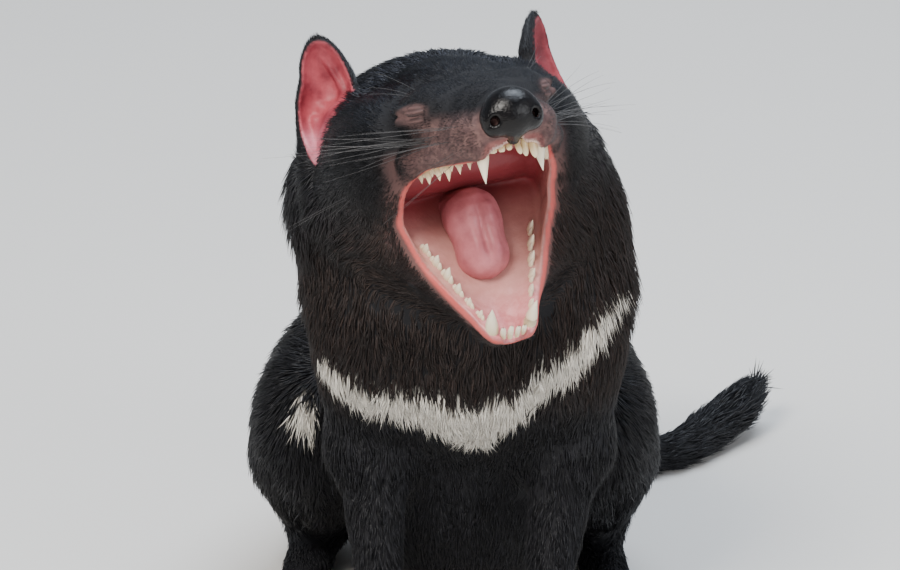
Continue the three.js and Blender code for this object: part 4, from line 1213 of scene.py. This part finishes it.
class DEVIL_OT_tongue(bpy.types.Operator):
    """Make the tongue"""

    bl_idname = "devil.tongue"
    bl_label = "Tongue"

    def execute(self, context):
        p, f = surface(tongue, np.arange(-18, 18, 0.8), np.arange(-66, 2, 0.8), np.arange(-26, 12, 0.8))
        p, _ = settled(tongue, p)
        p[:, 2] += 0.15 * np.sin(p[:, 1] * 1.1) * smooth(-70, -20, p[:, 1]) * smooth(12, 4, np.abs(p[:, 0]))
        piece = make_piece("tongue_flesh", JAW.out(p), f, ("tongue",))
        piece.data.materials.append(
            wet_material("tongue_pink", (0.48, 0.155, 0.17), (0.33, 0.085, 0.10), 0.42, 90, 0.0006, 0.05)
        )
        return {"FINISHED"}


class DEVIL_OT_nose(bpy.types.Operator):
    """Make the nose pad with its nostrils"""

    bl_idname = "devil.nose"
    bl_label = "Nose"

    def execute(self, context):
        p, f = surface(nose_pad, np.arange(-19, 19, 0.6), np.arange(-114, -86, 0.6), np.arange(-15, 22, 0.6))
        p, n = settled(nose_pad, p)
        piece = make_piece("nose_pad", HEAD.out(p + 0.15 * n), f, ("nose",))
        black, brown = (0.0015, 0.0015, 0.002), (0.004, 0.003, 0.003)
        wet = wet_material("nose_leather", black, brown, 0.12, 170, 0.0006, shine=0.27)
        piece.data.materials.append(wet)
        return {"FINISHED"}


LID_WIDE, LID_TALL = 8.6, 5.6  # half the width and height of the closed lids of one eye
LID_FOLD = 2.1  # from one fold of the lids to the next


def eye_place(side):
    """Frame at one eye: x along the slit between the lids, y up across them, z out of the skin."""
    at, out = settled(head_skin, np.array([[side * 30.3, -57.5, 15.9]]), 8)
    along = np.array([0.70, side * 0.70, side * 0.14])
    along = unit(along[None] - (along @ out[0]) * out)
    return Place(np.column_stack((along[0], np.cross(out, along)[0], out[0])), at[0])


def over_slit(p):
    """How far up from the slit points are, in an eye's frame."""
    return p[:, 1] + 0.8 - 0.014 * p[:, 0] ** 2


def off_middle(p):
    """How far points are from the middle of the lids, 1 at their edge, in an eye's frame."""
    return (p[:, 0] / LID_WIDE) ** 2 + (p[:, 1] / LID_TALL) ** 2


def eyelid(place):
    """Closed lids in an eye's frame: a low mound on the skin, with folds that follow the slit."""

    def field(p):
        near = off_middle(p)
        off = over_slit(p)
        folds = 0.32 * np.cos(off * 2 * math.pi / LID_FOLD) * np.exp(-((off / 3.4) ** 2))
        slit = 1.5 * np.exp(-((off / 0.55) ** 2))
        top = 1.4 * (1 - near) - 0.3 + (folds - slit) * smooth(1, 0.55, near)
        d = head_skin(place.out(p))
        return np.maximum.reduce([d - top, -2.5 - d, 3 * (near - 1)])

    return field


class DEVIL_OT_lids(bpy.types.Operator):
    """Make the closed eyelids with their folds"""

    bl_idname = "devil.lids"
    bl_label = "Eyelids"

    def execute(self, context):
        s = Shader("lid_skin", Specular_Ior_Level=0.35)
        fold, slit = s.layer("fold"), s.layer("slit")
        pink = s.mix(s.noise(260), (0.13, 0.070, 0.064), (0.07, 0.036, 0.034))
        # painted shade: the lid skin is pink on the ridges of its folds and dark in the grooves between them;
        # it is also dark at its edge, where it meets the black skin
        color = s.mix(fold, (0.045, 0.023, 0.022), pink)
        # painted shade: the slit between the closed lids is near black
        look = s.feed(Base_Color=s.mix(slit, color, (0.003, 0.002, 0.002)), Roughness=0.62 - 0.2 * slit)
        for name, side in (("left", LEFT), ("right", RIGHT)):
            place = eye_place(side)
            field = eyelid(place)
            p, f = surface(field, np.arange(-9.4, 9.5, 0.4), np.arange(-6.6, 6.7, 0.4), np.arange(-5, 4, 0.4))
            p, _ = settled(field, p, 1)
            off = over_slit(p)
            layers = {
                # 1 on the ridges of the folds; 0 in their grooves, which get painted shade, and at the lids'
                # edge
                "fold": (0.5 + 0.5 * np.cos(off * 2 * math.pi / LID_FOLD)) * smooth(1, 0.4, off_middle(p)),
                # painted shade along the slit between the closed lids
                "slit": np.exp(-((off / 0.75) ** 2)) * smooth(8.4, 6.6, np.abs(p[:, 0])),
            }
            piece = make_piece(name + "_lids", HEAD.out(place.out(p)), f, (), layers)
            piece.data.materials.append(look)
        return {"FINISHED"}


class DEVIL_OT_eyes(bpy.types.Operator):
    """Make the eyes behind the closed lids"""

    bl_idname = "devil.eyes"
    bl_label = "Eyes"

    def execute(self, context):
        for name, side in (("left", LEFT), ("right", RIGHT)):
            middle = np.array([side * 27.6, -54.4, 14.6])
            ball = egg(middle, (5, 5, 5))
            lines = [np.arange(c - 7.5, c + 7.5, 0.7) for c in middle]
            p, f = surface(ball, *lines)
            p, _ = settled(ball, p)
            piece = make_piece(name + "_eyeball", HEAD.out(p), f, (name + "_eye",))
            black, brown = (0.008, 0.005, 0.004), (0.02, 0.012, 0.008)
            wet = wet_material(name + "_eye_dark", black, brown, 0.08, 200, 0.0001, 0.6)
            piece.data.materials.append(wet)
        return {"FINISHED"}


def cusp(root, tip, along, radius, flat, blunt):
    """One point of a tooth: swollen above the gum, thinner across the jaw than along it, drawn to a tip."""
    t = np.linspace(-0.28, 1, 8)
    run = tip - root
    bow = np.array([0, 0.10, 0]) * np.linalg.norm(run)
    path = root + t[:, None] * run + (t * (1 - t))[:, None] * bow
    taken = [0.85, 0.98, 1.0, 0.95, 0.82, 0.3] if blunt else [0.85, 0.98, 1.0, 0.68, 0.32, 0.03]
    shape = np.interp(t, [-0.3, 0, 0.2, 0.5, 0.8, 1], taken)
    points, faces = taper(path, radius * shape, 10)
    across = np.cross(run, along)
    across /= np.linalg.norm(across)
    points -= (1 - flat) * ((points - root) @ across)[:, None] * across
    return points, faces


# Teeth on one side: place across and along the jaw, height over the gum, radius, lean outwards.
UPPER_TEETH = [
    (1.9, -92.6, 4.0, 1.5, 0), (5.2, -92.2, 5.2, 1.7, 0.3), (8.9, -91.2, 7.2, 2.1, 0.4),
    (12.8, -87.5, 12.8, 3.2, 0.5), (16.6, -79, 5.6, 2.5, 0.6), (19.4, -72, 6.2, 2.8, 0.6),
    (22.2, -64.5, 7.0, 3.3, 0.8), (24.6, -56.5, 7.4, 3.5, 0.8), (26.8, -48.5, 7.2, 3.5, 0.8),
    (28.6, -41.5, 5.8, 2.9, 0.6),
]
LOWER_TEETH = [
    (1.7, -91.5, 5.4, 1.4, 0), (4.8, -91, 5.2, 1.4, 0.2), (9, -87.5, 14.5, 3.3, 2),
    (12, -79.5, 5.4, 2.3, 0.2), (14.6, -72.5, 6.2, 2.5, 0.2), (17.4, -65, 7.4, 2.9, 0.2),
    (20, -57, 8.0, 3.1, 0.2), (22.6, -49, 8.0, 3.1, 0.2), (25, -41.5, 7.4, 2.9, 0.2),
]
CANINE = 12  # a taller tooth is a canine
CHEEK_TOOTH = 2.2  # another tooth with a larger radius is a cheek tooth
CHEEK_POINTS = [(0, 1, 0.78), (-0.78, 0.62, 0.56), (0.78, 0.54, 0.56)]  # place along the jaw, height, girth
UNDER_LIP = 0.2  # share of the upper front teeth's height that the lip leaves free on the right


class DEVIL_OT_teeth(bpy.types.Operator):
    """Set the teeth in both jaws"""

    bl_idname = "devil.teeth"
    bl_label = "Teeth"

    def execute(self, context):
        look = context.scene.devil_flesh
        s = Shader("tooth_enamel", Coat_Weight=0.3, Coat_Roughness=0.15)
        stain = s.layer("root")
        color = s.mix(stain, s.mix(s.noise(500), tuple(look.tooth), (0.80, 0.71, 0.52)), (0.56, 0.40, 0.20))
        enamel = s.feed(Base_Color=color, Roughness=0.22 + 0.15 * s.noise(300))
        rng = np.random.default_rng(3)
        for name, place, gum, up, rows in (
            ("upper_teeth", HEAD, UPPER_GUM, -1, UPPER_TEETH),
            ("lower_teeth", JAW, LOWER_GUM, 1, LOWER_TEETH),
        ):
            pile = Pile()
            for x, y, high, radius, lean in rows:
                for side in (LEFT, RIGHT):
                    canine, cheek = high > CANINE, radius > CHEEK_TOOTH and high < CANINE
                    front = not canine and not cheek
                    tall = high * (UNDER_LIP if side == RIGHT and up < 0 and front else 1)
                    root = np.array([side * x, y, gum - up])
                    back = 2.5 if canine else -0.6 * lean
                    tip = np.array([side * (x + lean), y + back, gum + up * tall])
                    tip += rng.normal(size=3) * 0.3
                    along = np.array([0.97, side * 0.2, 0] if front else [side * 0.36, 0.93, 0])
                    stained = 0.6 if up < 0 and not canine else 0
                    for shift, share, girth in CHEEK_POINTS if cheek else [(0, 1, 1)]:
                        start = root + along * shift * radius
                        end = start + (tip - root) * share * rng.uniform(0.92, 1.05)
                        spike, faces = cusp(start, end, along, radius * girth, 0.9 if canine else 0.7, front)
                        rise = end - start
                        worn = np.clip((spike - start) @ rise / (rise @ rise), 0, 1)
                        pile.add(spike, faces, (1 - worn) ** 2 * 0.8 + stained)
            points, faces, mark = pile.all()
            piece = make_piece(name, place.out(points), faces, (), {"root": mark})
            piece.data.materials.append(enamel)
        return {"FINISHED"}


class DEVIL_OT_claws(bpy.types.Operator):
    """Set a curved claw on each toe"""

    bl_idname = "devil.claws"
    bl_label = "Claws"

    def execute(self, context):
        pile = Pile()
        for _, toes in FORE_LEGS + HIND_LEGS:
            for x, y, z in toes:
                t = np.linspace(0, 1, 8)
                path = np.column_stack((x + 0 * t, y - 2 - 10.5 * t, z + 0.8 - 4.6 * t**2))
                pile.add(*taper(path, 2.0 * (1 - t) ** 0.7 + 0.15, 8), np.repeat(t, 8))
        points, faces, mark = pile.all()
        points[:, 2] = np.maximum(points[:, 2], 0.2)
        piece = make_piece("claws", points, faces, (), {"along": mark})
        piece.data.materials.append(hair_material("claw_horn", (0.12, 0.09, 0.07), (0.35, 0.29, 0.22)))
        return {"FINISHED"}


class DEVIL_OT_whiskers(bpy.types.Operator):
    """Set the whiskers of the muzzle, brow and cheek"""

    bl_idname = "devil.whiskers"
    bl_label = "Whiskers"

    def execute(self, context):
        rng = np.random.default_rng(21)
        pile = Pile()
        groups = [
            ((18, -80, 2), (4, 8, 3), (0.62, 0.75, 0.03), 44, 11),
            ((25, -66, 2), (4, 8, 3), (0.55, 0.83, 0.0), 56, 12),
            ((27, -50, 26), (3, 4, 2), (0.5, 0.7, 0.25), 22, 3),
            ((48, -14, -6), (3, 5, 5), (0.6, 0.8, -0.2), 26, 4),
        ]
        for at, spread, way, long, count in groups:
            for side in (LEFT, RIGHT):
                for _ in range(count):
                    root = np.array(at) + rng.uniform(-1, 1, 3) * spread
                    root[0] *= side
                    p, n = settled(head_skin, root[None], 6)
                    p, n = p[0], n[0]
                    aim = np.array([side * way[0], way[1], way[2]]) + rng.normal(size=3) * (0.12, 0.12, 0.09)
                    aim = aim / np.linalg.norm(aim) + 0.4 * n
                    reach = long * rng.uniform(0.55, 1.1)
                    t = np.linspace(0, 1, 9)
                    sag = np.array([0, rng.uniform(0.05, 0.35), rng.uniform(-0.16, 0.06)])
                    path = p - 0.6 * n + reach * (t[:, None] * aim + (t**2)[:, None] * sag)
                    pile.add(*taper(path, 0.12 * (1 - 0.75 * t), 4), np.repeat(t, 4))
        points, faces, mark = pile.all()
        piece = make_piece("whiskers", HEAD.out(points), faces, (), {"along": mark})
        piece.data.materials.append(hair_material("whisker", (0.02, 0.019, 0.02), (0.12, 0.115, 0.115)))
        return {"FINISHED"}


CAMERA_AIM = (-0.9, 20, 201.3)
CAMERA_TILT = 20  # degrees down
CAMERA_AWAY = 2200
SENSOR, PICTURE_WIDTH, FOCAL_PIXELS = 36, 900, 4840
CAMERA_LENS = FOCAL_PIXELS * SENSOR / PICTURE_WIDTH
FLOOR_REACH = 8.0  # from the middle to each side, in metres


class DEVIL_OT_stage(bpy.types.Operator):
    """Set the floor, lights and camera"""

    bl_idname = "devil.stage"
    bl_label = "Stage"

    def execute(self, context):
        scene = context.scene
        mesh = bpy.data.meshes.new("studio_floor")
        corners = [(x * FLOOR_REACH, y * FLOOR_REACH, 0) for x, y in ((-1, -1), (1, -1), (1, 1), (-1, 1))]
        mesh.from_pydata(corners, [], [(0, 1, 2, 3)])
        floor = bpy.data.objects.new("studio_floor", mesh)
        scene.collection.objects.link(floor)
        floor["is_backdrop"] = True
        s = Shader("studio_paper", Roughness=0.8)
        mesh.materials.append(s.feed(Base_Color=s.mix(s.noise(3), (0.60, 0.58, 0.55), (0.63, 0.61, 0.585))))

        world = bpy.data.worlds.new("studio_air")
        world.use_nodes = True
        air = world.node_tree.nodes["Background"]
        air.inputs["Color"].default_value = (0.80, 0.88, 1.0, 1)
        air.inputs["Strength"].default_value = 0.42
        scene.world = world
        aim = Vector(row_frame([(5, 20, 230)])[0])
        for name, at, power, size, color in (
            ("key", (-0.9, -1.6, 2.1), 95, 0.9, (1.0, 0.96, 0.90)),
            ("sky", (0.5, 0.5, 2.4), 85, 1.6, (0.80, 0.89, 1.0)),
            ("fill", (1.7, -1.3, 0.9), 22, 1.2, (0.95, 0.97, 1.0)),
            ("bounce", (-0.1, -1.6, 0.15), 9, 0.9, (1.0, 0.95, 0.90)),
        ):
            lamp = bpy.data.lights.new(name, "AREA")
            lamp.energy, lamp.size, lamp.color = power, size, color
            source = bpy.data.objects.new(name, lamp)
            scene.collection.objects.link(source)
            source.location = at
            source.visible_glossy = name != "bounce"  # the low lamp lights the palate and leaves no glint
            source.rotation_mode = "QUATERNION"
            source.rotation_quaternion = (aim - Vector(at)).to_track_quat("-Z", "Y")

        tilt = math.radians(CAMERA_TILT)
        ahead = Vector((0, math.cos(tilt), -math.sin(tilt)))
        lens = bpy.data.cameras.new("photo_camera")
        lens.lens, lens.sensor_width, lens.clip_end = CAMERA_LENS, SENSOR, 50
        camera = bpy.data.objects.new("photo_camera", lens)
        scene.collection.objects.link(camera)
        camera.location = Vector(row_frame([CAMERA_AIM])[0]) - ahead * (CAMERA_AWAY / 1000)
        camera.rotation_mode = "QUATERNION"
        camera.rotation_quaternion = ahead.to_track_quat("-Z", "Y")
        scene.camera = camera
        return {"FINISHED"}


PIECES = (
    DEVIL_OT_stage,
    DEVIL_OT_skin,
    DEVIL_OT_coat,
    DEVIL_OT_tongue,
    DEVIL_OT_nose,
    DEVIL_OT_eyes,
    DEVIL_OT_lids,
    DEVIL_OT_teeth,
    DEVIL_OT_claws,
    DEVIL_OT_whiskers,
)


class DEVIL_PT_panel(bpy.types.Panel):
    """Lists the pieces of the devil and their settings"""

    bl_label = "Devil"
    bl_space_type = "VIEW_3D"
    bl_region_type = "UI"
    bl_category = "Devil"

    def draw(self, context):
        for operator in PIECES:
            self.layout.operator(operator.bl_idname)
        for group in (context.scene.devil_coat, context.scene.devil_flesh):
            for name in group.__annotations__:
                self.layout.prop(group, name)


CLASSES = (DevilCoat, DevilFlesh, *PIECES, DEVIL_PT_panel)


def register():
    for cls in CLASSES:
        bpy.utils.register_class(cls)
    bpy.types.Scene.devil_coat = bpy.props.PointerProperty(type=DevilCoat)
    bpy.types.Scene.devil_flesh = bpy.props.PointerProperty(type=DevilFlesh)


def unregister():
    del bpy.types.Scene.devil_coat
    del bpy.types.Scene.devil_flesh
    for cls in reversed(CLASSES):
        bpy.utils.unregister_class(cls)


def main():
    register()
    for piece in PIECES:
        group, name = piece.bl_idname.split(".")
        getattr(getattr(bpy.ops, group), name)()
    boxes = {"cad": CAD_BOX, "scene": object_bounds()}
    {k: [[float(c) for c in corner] for corner in box] for k, box in boxes.items()}


if __name__ == "__main__":
    main()
